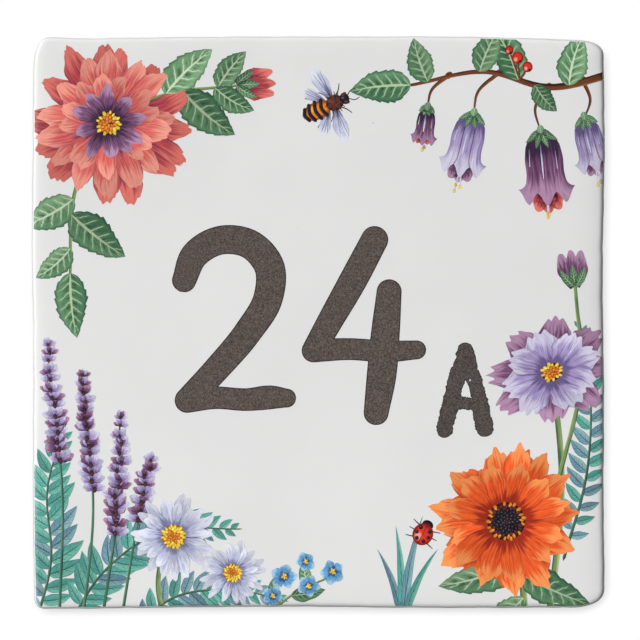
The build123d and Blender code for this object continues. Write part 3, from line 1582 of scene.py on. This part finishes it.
@dataclass
class Flower:
    """A flower head seen from above or at a slant: rings of petals round a heart of dots."""

    centre: Spot
    rings: tuple[PetalRing, ...]
    heart_radius: float
    heart_dots: int
    heart_paints: tuple[Paint, ...]
    dot_radius: float = 0.7
    squash: float = 1.0
    slant: float = 0.0

    def paint(self, sheet: PrintedPiece) -> None:
        """Paints the rings from the outermost in, every second petal over its neighbours, then the heart.

        Args:
            sheet: Where it goes.
        """
        for ring in self.rings:
            for parity in (0, 1):
                sheet.rise()
                for number in range(parity, ring.count, 2):
                    sheet.add(self._seen(ring.petal(number, self.centre, sheet.rng)), ring.paint)
        self._heart(sheet)

    def _seen(self, places: Array) -> Array:
        """A part of the flower as it is seen: squeezed towards the line through its middle at its slant."""
        across = pointing(self.slant + 90)
        return places + (self.squash - 1) * ((places - np.asarray(self.centre)) @ across)[..., None] * across

    def _heart(self, sheet: PrintedPiece) -> None:
        """Paints the heart: dots on a golden-angle spiral, from its rim in, each a little over the last.

        Args:
            sheet: Where it goes.
        """
        ground = oval(self.centre, self.heart_radius * 1.04, self.heart_radius * 1.04, 0, (13, 9))
        sheet.over(self._seen(ground), self.heart_paints[0], 0.3)
        number = np.arange(self.heart_dots, 0, -1)
        reach = self.heart_radius * np.sqrt(number / self.heart_dots)
        for rank, (out, turn) in enumerate(zip(reach, np.degrees(GOLDEN_ANGLE * number))):
            if rank % max(1, self.heart_dots // 4) == 0:
                sheet.rise()
            size = self.dot_radius * sheet.rng.uniform(0.75, 1.2)
            dot = oval(self.centre + out * pointing(turn), size * 1.25, size * 0.8, turn, (7, 4))
            inward = rank / self.heart_dots + sheet.rng.normal(0, 0.08)
            pot = self.heart_paints[1:][int(np.clip(inward, 0, 0.99) * (len(self.heart_paints) - 1))]
            sheet.add(self._seen(dot), pot)


@dataclass
class LeafSprig:
    """Leaves on a stem: each given by where along the stem it grows, its heading, length and half width."""

    stem: Rows
    leaves: Rows
    stem_paint: Paint = Paint.STEM
    leaf_paints: tuple[Paint, ...] = (Paint.LEAF, Paint.LEAF_DEEP)
    half_width: float = 0.6
    tip_width: float = 0.35
    teeth: int = 8
    tooth: float = 0.13
    widest: float = 0.38
    bend: float = 26.0

    def paint(self, sheet: PrintedPiece) -> None:
        """Paints the stem, then the leaves over it.

        Args:
            sheet: Where it goes.
        """
        sheet.rise()
        if self.half_width:
            sheet.add(line(self.stem, self.half_width, self.tip_width, 33), self.stem_paint, 0.5)
        spots = smooth_path(self.stem, 101)
        steps = (8 * max(self.teeth, 4) + 1, 7)
        for number, (share, angle, length, half_width) in enumerate(self.leaves):
            bend = self.bend * BOTH_SIDES[number % 2] * sheet.rng.uniform(0.5, 1.2)
            shape = (length, half_width, sheet.rng, bend, self.widest, self.teeth, self.tooth, steps)
            leaf = blade(spots[round(100 * share)], angle, *shape)
            sheet.over(leaf, self.leaf_paints[number % len(self.leaf_paints)])


@dataclass
class FernFrond:
    """A fern frond: pairs of leaflets along a curved rib, longest below the middle."""

    rib: Rows
    leaflet: float
    pairs: int = 13
    paints: tuple[Paint, Paint] = (Paint.TEAL, Paint.SLATE)
    second_share: float = 0.35

    def paint(self, sheet: PrintedPiece) -> None:
        """Paints the leaflets in pairs up the rib, and the rib over them.

        Args:
            sheet: Where it goes.
        """
        rng, spots = sheet.rng, smooth_path(self.rib, 201)
        headings = path_angles(spots)
        for side, parity in ((-1, 0), (-1, 1), (1, 0), (1, 1)):
            sheet.rise()
            for number in range(parity, self.pairs, 2):
                share = 0.1 + 0.88 * (number + 0.5 * (side > 0)) / self.pairs
                rank = min(200, round(200 * share))
                swell = math.sin(math.pi * (0.22 + 0.72 * share)) ** 0.9
                length = self.leaflet * swell * rng.uniform(0.9, 1.1)
                angle = headings[rank] + side * (62 - 26 * share + rng.normal(0, 3))
                half_width = 0.17 * length + 0.25
                leaflet = blade(spots[rank], angle, length, half_width, rng, -22 * side, 0.36, steps=(11, 5))
                sheet.add(leaflet, self.paints[int(rng.random() < self.second_share)])
        sheet.over(line(self.rib, 0.42, 0.16, 33), Paint.STEM_DARK, 0.5)


@dataclass
class LavenderSpike:
    """A lavender spike: whorls of small florets round the upper part of a thin stem."""

    stem: Rows
    whorls: int = 14
    whorl_gap: float = 2.3
    floret: float = 3.5
    spreads: Numbers = (74, 42, 12)
    pots: tuple[Paint, ...] = (Paint.LILAC, Paint.PLUM, Paint.LILAC)

    def paint(self, sheet: PrintedPiece) -> None:
        """Paints the stem, then the whorls from the lowest up.

        Args:
            sheet: Where it goes.
        """
        sheet.over(line(self.stem, 0.42, 0.22, 33), Paint.STEM_DARK)
        rng, spots = sheet.rng, smooth_path(self.stem, 201)
        headings, stem_length = path_angles(spots), way_along(spots)[-1]
        for whorl in range(self.whorls):
            rank = round(200 * (1 - self.whorl_gap * (self.whorls - 1 - whorl) / stem_length))
            taper = 1 - 0.5 * (whorl / self.whorls) ** 2
            base = spots[rank] + rng.normal(0, 0.25, 2)
            for lean in self.spreads:
                sheet.rise()
                for side in BOTH_SIDES:
                    angle = headings[rank] + side * lean + rng.normal(0, 9)
                    length = self.floret * taper * rng.uniform(0.8, 1.15)
                    pot = self.pots[int(rng.integers(len(self.pots)))]
                    floret = petal(base, angle, length, 0.34 * length, rng, 0.35, 0.35, 0, steps=(7, 5))
                    sheet.add(floret, pot)
            sheet.over(oval(base, 0.8 * taper, 0.55 * taper, headings[rank]), Paint.UMBER)


@dataclass
class Bell:
    """A hanging bell flower: a swelling tube with a lobed mouth, under a small green cap.

    The tube has its widths at shares of the way down. Folds and lights run down its columns of places.
    """

    top: Spot
    angle: float
    length: float
    mouth: float
    tube_paint: Paint = Paint.PLUM
    inner_paint: Paint = Paint.CORAL_DEEP
    ways: Numbers = (0, 0.08, 0.2, 0.4, 0.62, 0.8, 0.92, 1)
    widths: Numbers = (0.2, 0.42, 0.6, 0.68, 0.66, 0.72, 0.86, 1)
    back_lobes: Numbers = (-28, 0, 28)
    stamens: Numbers = (0.3, 0.36, 0.3)
    folds: tuple[int, ...] = (6, 12)
    lights: tuple[tuple[int, int, int], ...] = ((8, 7, -8), (15, 9, -9), (2, 8, -10))
    sepals: Numbers = (-52, 52, -18, 18)

    def paint(self, sheet: PrintedPiece) -> None:
        """Paints the mouth's inside, the stamens, the tube with its folds and lights, and the cap.

        Args:
            sheet: Where it goes.
        """
        rng, ahead, top = sheet.rng, pointing(self.angle), np.asarray(self.top)
        rim = top + 0.95 * self.length * ahead
        sheet.rise()
        for turn in self.back_lobes:
            size = (0.36 * self.length, 0.42 * self.mouth)
            lobe = petal(rim - 2 * ahead, self.angle + turn, *size, rng, 0.7, 0.5, 0.02)
            sheet.add(lobe, self.inner_paint)
        sheet.rise()
        for reach in self.stamens:
            tip = rim + reach * self.length * ahead + rng.normal(0, 0.7, 2)
            sheet.add(line((rim - 2 * ahead, tip), 0.16, 0.12, 9), Paint.PEARL, 0.8)
            sheet.add(oval(tip, 0.5, 0.42, self.angle), Paint.YELLOW)
        tube = self._tube(rng)
        sheet.over(tube, self.tube_paint)
        sheet.rise()
        for column in self.folds:
            sheet.add(line(tube[3:-1:4, column], 0.06, 0.2, 17), Paint.PLUM, 0.1)
        for column, first, last in self.lights:
            run = tube[first:last:4, column]
            half = 0.05 + 0.16 * np.sin(np.linspace(0.2, 3, len(run)))
            sheet.add(brush(np.column_stack([run, half])), Paint.MIST)
        sheet.rise()
        for turn in self.sepals:
            shape = (0.3 * self.length, 0.9, rng, 0.4 * turn)
            sheet.add(blade(top - 0.6 * ahead, self.angle + turn, *shape, steps=(11, 5)), Paint.LEAF_DEEP)
        sheet.over(oval(top - 0.5 * ahead, 1.1, 0.9, self.angle), Paint.LEAF)

    def _tube(self, rng: Rng) -> Array:
        """The tube: a band that bends a little and swells, its far edge drawn out to lobes by a cosine.

        Args:
            rng: Source of its bend.

        Returns:
            Its places, along by across by two.
        """
        along, across = eased(25), np.linspace(-1, 1, 19)
        axis = turning_path(self.top, self.angle, self.length, rng.normal(0, 6), along)
        half = self.mouth * np.interp(along, self.ways, self.widths)
        lobes = 0.1 * np.cos(3 * math.pi * across) - 0.08 * across**2
        return ribbon(axis, half, half, across, self.length * along[:, None] ** 6 * lobes[None])


@dataclass
class Twig:
    """A brown twig with side shoots: lines that taper, with a knot where each shoot starts."""

    lines: tuple[Rows, ...]
    half_width: float = 1.1

    def paint(self, sheet: PrintedPiece) -> None:
        """Paints the side shoots, then the main twig over them.

        Args:
            sheet: Where it goes.
        """
        for number, points in reversed(list(enumerate(self.lines))):
            half = self.half_width * (0.5 if number else 1)
            sheet.over(line(points, half, 0.35 * half, 41, 5), Paint.TWIG, 0.5)
            if number:
                sheet.add(oval(points[0], 1.1 * half + 0.5, half + 0.3, 40), Paint.TWIG, 0.35)


@dataclass
class Berry:
    """A round berry with a dark eye, on a thin stalk."""

    centre: Spot
    radius: float
    stalk: Spot

    def paint(self, sheet: PrintedPiece) -> None:
        """Paints the stalk, the berry and its eye.

        Args:
            sheet: Where it goes.
        """
        eye = self.centre + self.radius * np.array([0.35, -0.55])
        sheet.over(line((self.stalk, self.centre), 0.24, 0.2, 9), Paint.TWIG, 0.5)
        sheet.over(oval(self.centre, self.radius, 0.94 * self.radius, 90, (13, 9)), Paint.SCARLET)
        sheet.over(oval(eye, 0.34, 0.3), Paint.SOOT)


@dataclass
class Insect:
    """A small creature seen from above, whose parts are placed and sized by shares of its length."""

    centre: Spot
    angle: float
    length: float

    def spot(self, ahead: float, left: float = 0.0) -> Array:
        """A place ahead of the creature's middle and to its left."""
        return self.centre + self.length * (ahead * pointing(self.angle) + left * pointing(self.angle + 90))

    def part(
        self, place: Numbers, long: float, wide: float, turn: float = 0.0, steps: Steps = (9, 5)
    ) -> Array:
        """An oval part of the body."""
        return oval(self.spot(*place), long * self.length, wide * self.length, self.angle + turn, steps)


@dataclass
class Bee(Insect):
    """A honey bee in flight.

    A leg is given by how far ahead its hip, knee and foot are, a feeler by its places, a pair of wings by
    place, lean, reach and half width, and the tail and the chest by place, reach and half width.
    """

    legs: Rows = ((0.16, 0.3, 0.36), (0.06, 0.02, -0.06), (-0.02, -0.2, -0.34))
    leg_spread: Numbers = (0.08, 0.2, 0.3)
    feeler: Rows = ((0.42, 0.04), (0.52, 0.1), (0.6, 0.09))
    wings: Rows = ((-0.02, 128, 0.48, 0.12), (0.12, 98, 0.66, 0.16))
    wing_root: float = 0.1
    veins: Numbers = (-9, -2, 6)
    tail: Numbers = (-0.22, 0.29, 0.165)
    stripes: Numbers = (-0.1, -0.22, -0.34, -0.44)
    stripe: float = 0.036
    chest: Numbers = (0.14, 0.165, 0.15)
    hairs: int = 46
    hair: float = 0.07

    def paint(self, sheet: PrintedPiece) -> None:
        """Paints the legs and feelers, the wings, the striped tail, the furred chest and the head.

        Args:
            sheet: Where it goes.
        """
        sheet.rise()
        for side in BOTH_SIDES:
            for reaches in self.legs:
                joints = [self.spot(ahead, off * side) for ahead, off in zip(reaches, self.leg_spread)]
                sheet.add(line(joints, 0.16, 0.1, 13), Paint.INK)
            feeler = [self.spot(ahead, off * side) for ahead, off in self.feeler]
            sheet.add(line(feeler, 0.12, 0.1, 11), Paint.INK)
        self._wings(sheet)
        middle, long, wide = self.tail
        sheet.over(self.part((middle,), long, wide, steps=(17, 9)), Paint.ORANGE, 0.75)
        sheet.rise()
        for ahead in self.stripes:
            off = wide * math.sqrt(max(0, 1 - ((ahead - middle) / long) ** 2))
            bow = (self.spot(ahead + 0.015, -off), self.spot(ahead - 0.03), self.spot(ahead + 0.015, off))
            sheet.add(line(bow, self.stripe * self.length, self.stripe * self.length, 13, 5), Paint.INK)
        self._fur(sheet)
        sheet.over(self.part((0.34,), 0.085, 0.11), Paint.SOOT, 0.6)
        sheet.rise()
        for side in BOTH_SIDES:
            sheet.add(self.part((0.35, 0.075 * side), 0.06, 0.035, 20 * side), Paint.UMBER, 0.9)

    def _wings(self, sheet: PrintedPiece) -> None:
        """Paints the pairs of wings, each with its veins over it.

        Args:
            sheet: Where they go.
        """
        for ahead, lean, reach, half in self.wings:
            size = (reach * self.length, half * self.length)
            roots = [(side, self.spot(ahead, self.wing_root * side)) for side in BOTH_SIDES]
            sheet.rise()
            for side, root in roots:
                wing = petal(root, self.angle + side * lean, *size, sheet.rng, 0.2, 0.3, 0, bend=-8 * side)
                sheet.add(wing, Paint.MIST, 0.75)
            sheet.rise()
            for side, root in roots:
                for turn in self.veins:
                    tip = root + 0.86 * size[0] * pointing(self.angle + side * (lean + turn))
                    sheet.add(line((root, tip), 0.07, 0.04, 9), Paint.INK, 0.9)

    def _fur(self, sheet: PrintedPiece) -> None:
        """Paints the chest and its fur: short hairs on a golden-angle spiral, each pointing outwards.

        Args:
            sheet: Where it goes.
        """
        middle, long, wide = self.chest
        sheet.over(self.part((middle,), long, wide, steps=(13, 9)), Paint.UMBER)
        sheet.rise()
        for number in range(self.hairs):
            out, turn = wide * math.sqrt((number + 0.5) / self.hairs), number * GOLDEN_ANGLE
            root = self.spot(middle + out * math.cos(turn), out * math.sin(turn))
            angle = math.degrees(turn + sheet.rng.normal(0, 0.3)) + self.angle
            tip = root + self.hair * self.length * pointing(angle)
            sheet.add(line((root, tip), 0.13, 0.06, 7), Paint.TWIG if number % 3 else Paint.INK)


@dataclass
class Ladybird(Insect):
    """A ladybird with six legs and six spots, each spot by how far ahead and off it is and its radius."""

    legs: Numbers = (-0.25, 0.02, 0.28)
    spots: Rows = ((0.22, 0.2, 0.085), (-0.02, 0.26, 0.075), (-0.24, 0.15, 0.08))

    def paint(self, sheet: PrintedPiece) -> None:
        """Paints the legs, the head, the red wing cases and their spots.

        Args:
            sheet: Where it goes.
        """
        sheet.rise()
        for side in BOTH_SIDES:
            for ahead in self.legs:
                hip, foot = self.spot(ahead, 0.3 * side), self.spot(1.35 * ahead, 0.62 * side)
                sheet.add(line((hip, foot), 0.16, 0.1, 9), Paint.INK)
        sheet.add(self.part((0.42,), 0.2, 0.24), Paint.SOOT)
        sheet.over(self.part((0,), 0.46, 0.42, steps=(15, 9)), Paint.SCARLET, 0.6)
        sheet.over(line((self.spot(0.42), self.spot(-0.45)), 0.09, 0.06, 9), Paint.INK)
        for ahead, off, radius in self.spots:
            for side in BOTH_SIDES:
                sheet.add(self.part((ahead, off * side), radius, radius, -self.angle), Paint.SOOT, 0.4)


@dataclass
class Bud:
    """A closed bud: a few petals side by side in a cup of sepals."""

    base: Spot
    angle: float
    length: float
    pot: Paint
    petals: tuple[Numbers, ...] = ((-17, 17), (0,))
    sepals: Numbers = (-34, 34, 0)

    def paint(self, sheet: PrintedPiece) -> None:
        """Paints the outer petals, the middle one over them, and the sepals.

        Args:
            sheet: Where it goes.
        """
        for turns in self.petals:
            sheet.rise()
            for turn in turns:
                shape = (self.length, 0.27 * self.length, sheet.rng, 0.5, 0.5)
                sheet.add(petal(self.base, self.angle + turn, *shape, bend=-turn), self.pot)
        sheet.rise()
        for turn in self.sepals:
            size = (0.62 * self.length, 0.12 * self.length)
            sheet.add(blade(self.base, self.angle + turn, *size, sheet.rng, -turn), Paint.LEAF_DEEP)


@dataclass
class Tuft:
    """A tuft of grass: blades from one place, each given by its heading, length, half width and bend."""

    base: Spot
    blades: Rows
    pots: tuple[Paint, ...] = (Paint.SLATE, Paint.TEAL)
    widest: float = 0.3

    def paint(self, sheet: PrintedPiece) -> None:
        """Paints the blades from left to right.

        Args:
            sheet: Where it goes.
        """
        for number, (angle, length, half_width, bend) in enumerate(self.blades):
            grass = blade(self.base, angle, length, half_width, sheet.rng, bend, self.widest, steps=(31, 5))
            sheet.over(grass, self.pots[number % len(self.pots)])


@dataclass
class Numeral:
    """A plain hand-lettered figure: brush lines with their half widths, over a thin dark rim."""

    lines: tuple[Rows, ...]
    ink: Paint = Paint.NUMBER
    rim: float = 0.26
    rough: float = 0.0

    def paint(self, sheet: PrintedPiece) -> None:
        """Paints every line a little wider for the rim, and then again in ink.

        Args:
            sheet: Where it goes.
        """
        seed = int(sheet.rng.integers(1 << 30))
        for extra, pot in ((self.rim, Paint.NUMBER_RIM), (0, self.ink)):
            edges = np.random.default_rng(seed)
            for points in self.lines:
                sheet.over(brush(points + np.array([0, 0, extra]), 97, 9, self.rough, edges), pot, 0.5)


# Studio


@dataclass(frozen=True)
class Lamp:
    """A rectangular lamp turned to the tile, by its place in metres, its width, height and watts."""

    name: str
    place: tuple[float, float, float]
    width: float
    height: float
    power: float
    mirrored: bool = False

    def build(self) -> None:
        """Hangs the lamp up, turned to the tile."""
        lamp = bpy.data.lights.new(self.name, "AREA")
        lamp.shape = "RECTANGLE"
        lamp.size, lamp.size_y = self.width, self.height
        lamp.energy = self.power
        holder = placed(self.name, lamp)
        holder.visible_glossy = self.mirrored
        holder.location = self.place
        holder.rotation_euler = (-holder.location).to_track_quat("-Z", "Y").to_euler()


@dataclass
class Studio:
    """A white wall that the tile hangs on, a pale floor, soft light from the left, and a long lens.

    The glaze mirrors the key and the side lamp. The weaker ones are above, below and behind the tile.
    """

    form: TileForm
    frame_width: float = 167.3
    middle: Spot = (0.33, 0.61)
    distance: float = 950.0
    sensor: float = 36.0
    wall_gap: float = 0.2
    wall_top: float = 1500.0
    wall_width: float = 3000.0
    floor_drop: float = 400.0
    floor_reach: float = 3000.0
    shade_reach: float = 3.4
    lamps: tuple[Lamp, ...] = (
        Lamp("key", (-6.4, -5.4, 1.3), 8, 8, 785, True),
        Lamp("side", (-3, -0.75, 0.2), 1.6, 1.6, 8, True),
        Lamp("sky", (0, -0.62, 3.1), 1.4, 3, 60),
        Lamp("bounce", (0, -0.78, -0.46), 0.5, 0.35, 2.65),
        Lamp("crest", (-2, 0.73, 2), 1.2, 1.2, 15),
        Lamp("rear", (1.12, 2.2, 0.37), 1, 1, 60),
    )

    def build(self) -> None:
        """Sets up the wall, floor, lamps, surroundings and camera."""
        self._sweep()
        for lamp in self.lamps:
            lamp.build()
        self._surroundings()
        self._camera()
        bpy.context.scene.view_settings.view_transform = "Standard"

    def _sweep(self) -> None:
        """The wall behind the tile and the floor below it, seen by the camera alone."""
        side, near, back = self.wall_width / 2, -self.floor_reach, self.wall_gap
        low, high = -self.floor_drop, self.wall_top
        wall = np.array([(-side, back, low), (side, back, low), (side, back, high), (-side, back, high)])
        floor = np.array([(-side, near, low), (side, near, low), (side, back, low), (-side, back, low)])
        for name, corners in (("studio_wall", wall), ("studio_floor", floor)):
            sheet = placed(name, quad_mesh(name, corners * MM, np.array([[0, 1, 2, 3]])))
            sheet.data.materials.append(self._paper(name))
            for ray in ("diffuse", "glossy", "transmission", "volume_scatter", "shadow"):
                setattr(sheet, "visible_" + ray, False)

    def _paper(self, name: str) -> Material:
        """White glowing paper with a painted contact shadow, darker only close to the tile, that can't be
        seen from behind.

        Args:
            name: The material's name.

        Returns:
            The material.
        """
        material = bpy.data.materials.new(name)
        material.use_nodes = True
        tree = Tree(material.node_tree)
        towards_light = tree.vector(-0.35, -0.7, 0.45)
        given = {"Distance": self.shade_reach * MM, "Normal": towards_light}
        # A painted contact shadow: the paper glows less where the tile hides its sky, mostly on the side
        # away from the light.
        open_sky = tree.signal("AmbientOcclusion", given, "AO", samples=24)
        glow_with_painted_shadow = tree.signal("Emission", {"Strength": open_sky.step(0.1, 1, 0.55, 1.02)})
        behind = tree.signal("NewGeometry", None, "Backfacing")
        both = tree.signal("MixShader", {0: behind, 1: glow_with_painted_shadow, 2: tree.signal("BsdfTransparent")})
        tree.add("OutputMaterial", {"Surface": both})
        return material

    @staticmethod
    def _surroundings() -> None:
        """White to the camera, dim to everything else."""
        world = bpy.data.worlds.new("studio")
        bpy.context.scene.world = world
        world.use_nodes = True
        tree = Tree(world.node_tree)
        dim = tree.signal("Background", {"Color": (0.95, 0.97, 1), "Strength": 0.025})
        white = tree.signal("Background", {"Color": (1, 1, 1), "Strength": 1})
        seen = tree.signal("LightPath", None, "Is Camera Ray")
        tree.add("OutputWorld", {"Surface": tree.signal("MixShader", {0: seen, 1: dim, 2: white})})

    def _camera(self) -> None:
        """A long lens straight in front of the tile."""
        lens = bpy.data.cameras.new("camera")
        lens.sensor_width = self.sensor
        lens.lens = self.sensor * self.distance / self.frame_width
        lens.clip_start, lens.clip_end = 0.05, 20
        holder = placed("camera", lens)
        x, z = self.middle
        holder.location = (x * MM, -(self.distance + self.form.thickness) * MM, z * MM)
        holder.rotation_euler = (0.5 * math.pi, 0, 0)
        bpy.context.scene.camera = holder


# What is painted where, piece by piece, the lowest first


HEART = (Paint.UMBER, Paint.YELLOW, Paint.ORANGE)
CONE = (Paint.UMBER, Paint.ORANGE, Paint.UMBER, Paint.SOOT, Paint.SOOT)
DAISY_EYE = (Paint.ORANGE, Paint.YELLOW, Paint.YELLOW, Paint.ORANGE)
BRANCH = ((80, 66), (60, 61.5), (44, 65.5), (24, 62))
BERRY_STALK = (52.6, 63.2)
BLUE_FIRST = (Paint.SLATE, Paint.TEAL)
BERRIES = (((49.8, 71.2), 1.2), ((52, 69.2), 1.6), ((54.6, 66.8), 1.4))
SMALL_FLOWERS = ((-9, -66.5), (-2.6, -69, 3), (3.6, -65.2), (-3.4, -62.6, 2.6), (-12, -71.6, 2.8))
BOW = ((-35.2, 11, 2.9), (-32.5, 17.5, 3.4), (-26, 21.4, 3.5), (-18, 20.4, 3.6), (-12.9, 14.5, 3.7))
NECK = ((-13.2, 6.5, 3.6), (-18.5, -2.5, 3.4), (-26.5, -12, 3.2), (-34.4, -20.4, 3))
FOOT = ((-34.4, -20.4, 3), (-27, -19.7, 2.7), (-19, -20.2, 2.7), (-12, -19.6, 2.8), (-8.4, -19.8, 2.2))
FOUR = (
    ((14.6, 21.6, 3.3), (9, 11, 3.4), (3, 0.4, 3.1), (-1.4, -7.4, 2.8)),
    ((-1.4, -7.4, 2.8), (8, -7, 2.6), (18, -7.6, 2.6), (25.6, -7.2, 2.2)),
    ((18.4, 8, 3), (17.4, -3, 3.5), (16.4, -14, 3.6), (15, -23.6, 3)),
)
SUFFIX = (
    ((38.2, -7.2, 1.7), (35.6, -17, 2), (32.9, -28, 2)),
    ((38.2, -7.2, 1.7), (41.2, -17, 1.9), (43.4, -27.6, 2.1)),
    ((34.8, -21, 1.5), (41.8, -21.3, 1.5)),
)
DAHLIA = Flower(
    (-55, 52),
    (
        PetalRing(15, 4, 17.5, 3.7, Paint.CORAL_DEEP, frill=0.05, blunt=0.2),
        PetalRing(14, 3.5, 14.5, 3.4, Paint.CORAL, frill=0.05, blunt=0.2, turn=11),
        PetalRing(12, 2.8, 10.8, 2.9, Paint.CORAL, frill=0.05, blunt=0.2, turn=5),
        PetalRing(10, 2, 7.6, 2.3, Paint.PLUM, frill=0.05, blunt=0.2, turn=16),
    ),
    heart_radius=3,
    heart_dots=34,
    heart_paints=HEART,
    dot_radius=0.55,
)
COSMOS = Flower(
    (61, -13),
    (
        PetalRing(8, 2.17, 13.33, 5.115, Paint.PLUM, frill=0.05, lobes=3, blunt=0.16),
        PetalRing(8, 1.86, 10.85, 4.65, Paint.LILAC, frill=0.05, lobes=3, blunt=0.16, turn=22),
    ),
    heart_radius=2.635,
    heart_dots=30,
    heart_paints=HEART,
    dot_radius=0.55,
    squash=0.84,
    slant=24,
)
FLAME_FLOWER = Flower(
    (49, -52),
    (
        PetalRing(11, 4, 13.6, 4.2, Paint.EMBER, frill=0.04, lobes=2, turn=8),
        PetalRing(13, 4.2, 14.8, 3.7, Paint.FLAME, frill=0.035, lobes=2),
        PetalRing(12, 3.8, 12.6, 3.4, Paint.FLAME, frill=0.035, lobes=2, turn=14),
    ),
    heart_radius=4.8,
    heart_dots=80,
    heart_paints=CONE,
    dot_radius=0.6,
)


def daisy(centre: Spot, size: float) -> Flower:
    """A pale daisy with a yellow heart.

    Args:
        centre: Its middle.
        size: Its radius.

    Returns:
        The flower.
    """
    rings = (
        PetalRing(17, 0.22 * size, 0.78 * size, 0.135 * size, Paint.MIST, frill=0.03),
        PetalRing(15, 0.2 * size, 0.66 * size, 0.125 * size, Paint.MIST, frill=0.03, turn=9),
    )
    return Flower(centre, rings, 0.27 * size, 44, DAISY_EYE, 0.045 * size)


def forget_me_not(x: float, z: float, size: float = 3.4) -> Flower:
    """A small sky-blue flower of five petals."""
    ring = PetalRing(5, 0.1 * size, 0.9 * size, 0.46 * size, Paint.SKY, 0.3, 0.3, 0.015, 0, 4, 31 * x)
    return Flower((x, z), (ring,), 0.2 * size, 6, (Paint.ORANGE, Paint.YELLOW), 0.09 * size)


def bare_stem(points: Rows, start: float, end: float) -> LeafSprig:
    """A stem without leaves, by its points and its half width at both ends."""
    return LeafSprig(points, (), half_width=start, tip_width=end)


PRINT: dict[str, tuple[Motif, ...]] = {
    "dahlia_spray": (
        LeafSprig(
            ((-57, 51), (-42, 59), (-21, 62)),
            ((0.5, 44, 17, 4.8), (0.62, -40, 18, 5), (0.86, 52, 12, 3.4), (0.84, -30, 12, 3.3)),
        ),
        Bud((-21.4, 62), 4, 10, Paint.CORAL_DEEP),
        LeafSprig(
            ((-57, 51), (-64, 33), (-65, 12)),
            ((0.5, -152, 15, 4.4), (0.6, -38, 18, 5), (0.82, -140, 12, 3.4), (0.98, -84, 17, 4.4)),
        ),
        DAHLIA,
    ),
    "bell_twig": (
        Twig((
            BRANCH,
            ((60, 61.7), (56.6, 56), (58, 50)),
            ((47, 65.2), (41.5, 60), (40.5, 54.5)),
            ((69, 63.4), (71, 58), (69.5, 53.5)),
            ((34, 64.6), (29.4, 60.5), (28.4, 56)),
        )),
        LeafSprig(
            BRANCH,
            ((0.26, 74, 14, 4.2), (0.5, 116, 15, 4.4), (0.68, 66, 12, 3.7))
            + ((1, 186, 16, 4.6), (0.92, 108, 12, 3.6), (0.42, -50, 9, 2.8)),
            half_width=0,
        ),
        Bell((58, 50), -84, 18, 7.4),
        Bell((40.5, 54.5), -103, 15.5, 6.4, Paint.LILAC, Paint.PLUM),
        Bell((69.5, 53.5), -76, 13.5, 5.4, Paint.LILAC, Paint.PLUM),
        Bell((28.4, 56), -98, 9, 3.6),
        *(Berry(centre, radius, BERRY_STALK) for centre, radius in BERRIES),
    ),
    "cosmos_spray": (
        FernFrond(((64, -62), (70, -40), (71, -18), (68, 2)), 6.5, 15, BLUE_FIRST),
        bare_stem(((61, -12), (63.5, -40), (60, -80)), 0.7, 0.9),
        bare_stem(((63, -40), (68.5, -16), (67, 10)), 0.6, 0.45),
        Bud((67, 9.4), 98, 9.5, Paint.PLUM),
        COSMOS,
    ),
    "flame_spray": (
        LeafSprig(
            ((49, -52), (53, -66), (54, -80)),
            ((0.4, -164, 22, 4.6), (0.5, -24, 20, 4.6), (0.72, -140, 15, 3.6)),
            half_width=0.9,
            tip_width=0.9,
        ),
        FLAME_FLOWER,
    ),
    "fern_bank": (
        FernFrond(((-75, -82), (-70, -62), (-71, -44), (-66, -26)), 10, 14),
        FernFrond(((-66, -80), (-56, -65), (-42, -55), (-20, -54)), 9, 16),
        FernFrond(((-50, -82), (-38, -72), (-22, -70), (-8, -73)), 7, 13, BLUE_FIRST),
    ),
    "lavender": (
        LavenderSpike(((-62, -80), (-59, -50), (-62, -14))),
        LavenderSpike(((-57, -80), (-53, -52), (-52, -25))),
        LavenderSpike(((-68, -80), (-67, -46), (-71, -6))),
        LavenderSpike(((-52, -80), (-48, -56), (-44, -36)), 8),
    ),
    "daisies": (
        bare_stem(((-40, -57), (-42, -68), (-40, -80)), 0.6, 0.7),
        daisy((-38, -56), 11),
        daisy((-22.5, -65.5), 8.5),
        LeafSprig(
            ((-16, -80), (-8, -72), (4, -66)),
            ((0.3, 96, 8, 1.8), (0.5, 10, 9, 1.9), (0.7, 100, 7, 1.6)),
            half_width=0.4,
            tip_width=0.25,
            teeth=0,
        ),
        *(forget_me_not(*place) for place in SMALL_FLOWERS),
    ),
    "honey_bee": (Bee((2.4, 56.6), 24, 14),),
    "grass_tuft": (
        Tuft((22, -80), ((108, 22, 1, 24), (94, 27, 1.2, 10), (80, 30, 1.2, -16), (66, 23, 1, -30))),
        Ladybird((27.2, -55.4), 62, 6.4),
    ),
    "figure_two": (Numeral((BOW + NECK, FOOT)),),
    "figure_four": (Numeral(FOUR),),
    "suffix_letter": (Numeral(SUFFIX, Paint.SUFFIX, 0.22, 0.34),),
}


def main() -> None:
    """Builds the tile, its number and its painted flowers, and sets up the studio."""
    logging.basicConfig(level=logging.INFO, format="%(name)s: %(message)s")
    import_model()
    form, effects, layers = TileForm(), Effects(), LayerMap()
    tile = Tile(form)
    piece = tile.build()
    tile.dress(piece, effects)
    log.info("%s: %d faces", piece.name, len(piece.data.polygons))
    for number, (name, painted) in enumerate(PRINT.items()):
        sheet = PrintedPiece(name, form, layers, FIRST_SEED + number)
        for motif in painted:
            motif.paint(sheet)
        piece = sheet.build()
        sheet.dress(piece, effects)
        counts = (len(sheet.strokes), len(piece.data.polygons))
        highest = max(stroke.lift for stroke in sheet.strokes)
        log.info("%s: %d strokes, %d faces, up to %.3f mm high", name, *counts, highest)
    Studio(form).build()


if __name__ == "__main__":
    main()
